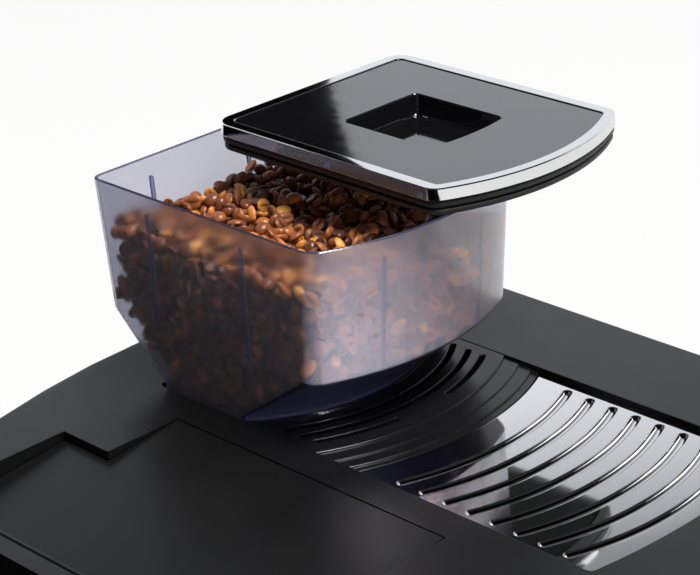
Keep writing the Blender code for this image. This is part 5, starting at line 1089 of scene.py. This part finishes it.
# %% The pocket's outline
POCKET = (0.029, 0.12, 0.053, 0.15, 0.003)
POCKET_BOW_STEPS = 24
TAB_SKIP = 2
TAB_STEPS = 12


def pocket_ring(inset, height):
    """The pocket's outline, with the tab in its front left corner."""
    half, rear, apex, bow, corner = POCKET
    corner = max(corner - inset, LEAST_ROUND)
    sizes = half - inset, rear - inset, apex + inset, bow - inset
    plan = bowed_plan(LID_MIDDLE, *sizes, corner, corner, POCKET_BOW_STEPS)
    tip = Vector((LID_MIDDLE - half + inset, plan[0][1]))
    end = Vector(plan[TAB_SKIP]) - tip
    tab = arc(*tip, end.length, math.pi, math.atan2(end.x, -end.y), TAB_STEPS)[:-1]
    return at_height(plan[TAB_SKIP:-FINE_CORNER] + tab, height)


print("pocket outline of", len(pocket_ring(0, 0)), "points")

# %% The plate and its pocket
PLATE_TOP = 0.4735
PLATE_LOW = 0.471
PLATE_GAP = 0.0003
POCKET_DEEP = 0.0125
POCKET_WALL = 0.0015
POCKET_LEAN = 0.0006

plate = bmesh.new()
edge = BORDER + PLATE_GAP
edge_section = rounded([
    (edge, PLATE_LOW, 0), (edge, PLATE_TOP, 0.0003), (edge + AWAY, PLATE_TOP, 0)
])[:-1]
rings = skin(plate, [lid_ring(*spot) for spot in edge_section])
floor_level = PLATE_TOP - POCKET_DEEP
pocket_section = rounded([
    (-AWAY, PLATE_TOP, 0), (0, PLATE_TOP, 0.0009),
    (POCKET_LEAN, floor_level, 0.0022), (POCKET_LEAN + AWAY, floor_level, 0),
])[1:-1]
inside = skin(plate, [pocket_ring(*spot) for spot in pocket_section])
under = skin(plate, [
    pocket_ring(-POCKET_WALL, height) for height in (PLATE_LOW, floor_level - POCKET_WALL)
])
holed(plate, rings[-1], inside[0])
holed(plate, rings[0], under[0])
cap(plate, inside[-1], under[-1])
made("lid_plate", plate, "hopper_lid", "gloss_black", "hopper_lid_plate")

# %% [markdown]
# ## Cup tray
# The tray is a chromed pressing with eight shallow, round-bottomed grooves that repeat the curve of its
# rear edge. Chrome would give a bump map away. So each groove is a curved slot's outline, drawn in as
# it goes down, and the top is filled round all eight.

# %% Tray outline and slots
BAY = (0.07325, -0.1516, 0.4, 0.0026)
HUB = (MIDDLE, 0.1607)
TRAY_ARC = 0.169
SLOT_STEPS = 72
CAP_STEPS = 12


def tray_ring(inset, height):
    """The tray's outline: a bowed front and a hollow rear round the vent insert."""
    half, apex, bow, corner = BAY
    plan = bowed_plan(MIDDLE, half - inset, 0, apex + inset, bow - inset, corner, corner)
    front = plan[:FINE_BOW + FINE_CORNER + 1]
    end = math.asin((half - inset) / (TRAY_ARC + inset))
    rear = arc(*HUB, TRAY_ARC + inset, end, -end, FINE_BOW)
    return at_height(front + rear + plan[-FINE_CORNER:], height)


def slot_ring(hub, radius, start, end, half, height):
    """A curved slot's outline between two angles off straight ahead, with round ends."""
    points = []
    for side, first, last, turn in ((half, start, end, end), (-half, end, start, start + math.pi)):
        points += arc(*hub, radius + side, first, last, SLOT_STEPS)
        tip = arc(*hub, radius, last, last, 1)[0]
        points += arc(*tip, half, turn, turn + math.pi, CAP_STEPS)[1:-1]
    return at_height(points, height)


print("tray outline of", len(tray_ring(0, 0)), "points")

# %% Press the tray
SEAT = 0.3393
TRAY_TOP = 0.344
TRAY_SHEET = 0.0012
TRAY_LOW = TRAY_TOP - 0.0034
GROOVES = 8
GROOVE_PITCH = 0.0153
GROOVE_SETBACK = 0.0224
GROOVE_HALF = 0.0028
GROOVE_DEEP = 0.0018
GROOVE_LEAN = 0.001
GROOVE_REACH = 0.0645
GROOVE_ROUND_STEPS = 9

tray = bmesh.new()
outside = rounded([
    (TRAY_SHEET, SEAT, 0), (0, SEAT, 0.0003), (0, TRAY_TOP, 0.0008), (AWAY, TRAY_TOP, 0)
])[1:-1]
tray_section = [(TRAY_SHEET, TRAY_LOW), (TRAY_SHEET, SEAT), *outside]
loops = skin(tray, [tray_ring(*spot) for spot in tray_section])
groove_floor = TRAY_TOP - GROOVE_DEEP
groove_section = rounded([
    (-AWAY, TRAY_TOP, 0), (0, TRAY_TOP, 0.0005),
    (GROOVE_LEAN, groove_floor, 0.0026), (GROOVE_HALF, groove_floor, 0),
], GROOVE_ROUND_STEPS)[1:-1]
swing = math.asin(GROOVE_REACH / TRAY_ARC)
mouths = []
for row in range(GROOVES):
    hub = (HUB[0], HUB[1] - GROOVE_SETBACK - row * GROOVE_PITCH)
    groove = skin(tray, [
        slot_ring(hub, TRAY_ARC, -swing, swing, GROOVE_HALF - inset, height)
        for inset, height in groove_section
    ])
    mouths.append(groove[0])
    cap(tray, groove[-1])
holed(tray, loops[-1], *mouths)
cap(tray, loops[0])
chrome_tray = made("chrome_tray", tray, "cup_tray", "mirror_chrome", "cup_tray")
keep_from_key(chrome_tray)

# %% [markdown]
# ## Vent insert
# Behind the tray a black insert steps up towards the hopper. Each step has a rounded edge that catches
# a thin line of light. The insert ends at the bay's straight sides, so its section isn't skinned as
# rings but swept from side to side.

# %% Steps of the insert
INSERT_TOP = 0.3467
STEP_TOP = 0.3455
LEDGE_TOP = 0.3447
LIP_TOP = 0.3437
FOOT_ARC = 0.1036
RAISED_ARC = 0.1464
STEP_ARC = 0.156
LEDGE_ARC = 0.164
LIP_ARC = 0.1684
RISER_LEAN = 0.0003
ARC_STEPS = 56


def insert_row(radius, height):
    """Points along an arc from one side of the bay to the other."""
    end = math.asin(BAY[0] / radius)
    return at_height(arc(*HUB, radius, -end, end, ARC_STEPS), height)


insert = bmesh.new()
section = rounded([
    (FOOT_ARC, SEAT, 0), (FOOT_ARC, INSERT_TOP, 0.0008),
    (RAISED_ARC, INSERT_TOP, 0.0009), (RAISED_ARC + RISER_LEAN, STEP_TOP, 0.0002),
    (STEP_ARC, STEP_TOP, 0.0004), (STEP_ARC + 0.0002, LEDGE_TOP, 0.0002),
    (LEDGE_ARC, LEDGE_TOP, 0.0007), (LEDGE_ARC + RISER_LEAN, LIP_TOP, 0.0002),
    (LIP_ARC, LIP_TOP, 0.0004), (LIP_ARC, SEAT, 0),
])
flat = next(i for i, spot in enumerate(section) if spot[0] > (FOOT_ARC + RAISED_ARC) / 2)
rows = [[insert.verts.new(point) for point in insert_row(*spot)] for spot in section]
for number, (low, high) in enumerate(zip(rows, rows[1:]), start=1):
    if number != flat:
        for i in range(ARC_STEPS):
            insert.faces.new((low[i], low[i + 1], high[i + 1], high[i]))
for side in (0, -1):
    insert.faces.new([row[side] for row in rows])
print("insert section of", len(section), "points")

# %% [markdown]
# Six curved vents with rounded rims go right through the upper level. They are skinned as the tray's
# grooves are, and the insert's flat top and underside are filled round them.

# %% Vents of the insert
VENT_HALF = 0.00175
VENTS = ((0.1162, 0.0035), (0.1257, 0.0030), (0.1347, 0.0205))
VENT_END = 0.065


def framed(shape, low, high, holes):
    """Fills the area between two rows, round some holes."""
    ends = [(low[0], high[0]), (low[-1], high[-1])]
    edges = [shape.edges.get(end) or shape.edges.new(end) for end in ends]
    edges += [shape.edges.get(pair) for row in (low, high) for pair in zip(row, row[1:])]
    edges += ring_edges(shape, holes)
    bmesh.ops.triangle_fill(shape, use_beauty=True, edges=edges)


vent_section = rounded([(-AWAY, INSERT_TOP, 0), (0, INSERT_TOP, 0.0006), (0, SEAT, 0)])[1:]
tops, bottoms = [], []
for radius, start in VENTS:
    a, b = math.asin(start / radius), math.asin(VENT_END / radius)
    for first, last in ((a, b), (-b, -a)):
        vent = skin(insert, [
            slot_ring(HUB, radius, first, last, VENT_HALF - inset, height)
            for inset, height in vent_section
        ])
        tops.append(vent[0])
        bottoms.append(vent[-1])
framed(insert, rows[flat - 1], rows[flat], tops)
framed(insert, rows[0], rows[-1], bottoms)
vent_insert = made("stepped_insert", insert, "casing", "insert_black", "vent_insert")

# %% [markdown]
# ## Edges of the casing
# A moulded edge is never sharp: the tool leaves a small round that catches the light as a thin line. The
# casing needn't be modelled again for that: a stack of modifiers welds, rounds and shades each piece.

# %% Round the edges
ROUNDS_OF = {
    0.0012: ("foot_front_left", "foot_front_right", "foot_rear_left", "foot_rear_right"),
    0.0008: (
        "front_panel", "left_side_panel", "right_side_panel", "rear_panel", "base_plate",
        "drip_tray_front",
    ),
    0.0006: ("spout_carriage", "service_door", "control_panel", "cup_bay_liner", "menu_knob"),
    0.0004: (
        "top_cover", "tank_lid", *(f"drink_button_{i}" for i in range(1, 5)), "power_rocker",
        "mains_inlet", "grounds_container", "drip_tray", "hopper_lid_sole",
    ),
    0.0003: (
        "display_glass", "coffee_nozzle_left", "coffee_nozzle_right", "hot_water_nozzle", "drip_grid"
    ),
}
WELD_REACH = 0.000005
EDGE_ANGLE = math.radians(35)
for width, pieces in ROUNDS_OF.items():
    for piece in pieces:
        thing = NODES[piece]
        thing.modifiers.new("weld", "WELD").merge_threshold = WELD_REACH
        edges = thing.modifiers.new("edges", "BEVEL")
        edges.width = width
        edges.segments = 2
        edges.limit_method = "ANGLE"
        edges.angle_limit = EDGE_ANGLE
        thing.modifiers.new("even_shading", "WEIGHTED_NORMAL").keep_sharp = True
        thing.data.shade_smooth()
print("rounded", sum(len(pieces) for pieces in ROUNDS_OF.values()), "pieces")

# %% [markdown]
# ## Floor
# The machine stands on a plain pale floor that looks white in the picture. A bright lamp could bleach it
# but would light the machine from below. So white glow is mixed in, for the camera, mirrors and clear
# plastic only, and a faint shadow stays.

# %% Lay the floor
GLOW = 0.92
FLOOR_HALF = 3.0

paper = finish("pale_paper", (0.93, 0.93, 0.925), 0.8)
share = node(paper, "Math", operation="MULTIPLY")
share.inputs[1].default_value = GLOW
blend_into(paper, share.outputs[0], node(paper, "Emission"))
wire(paper, (for_rays(paper, *SHOWN_TO), share.inputs[0]))
sheet("floor", oblong(-FLOOR_HALF, -FLOOR_HALF, FLOOR_HALF, FLOOR_HALF, 0), "pale_paper")
print("floor", 2 * FLOOR_HALF, "m wide")
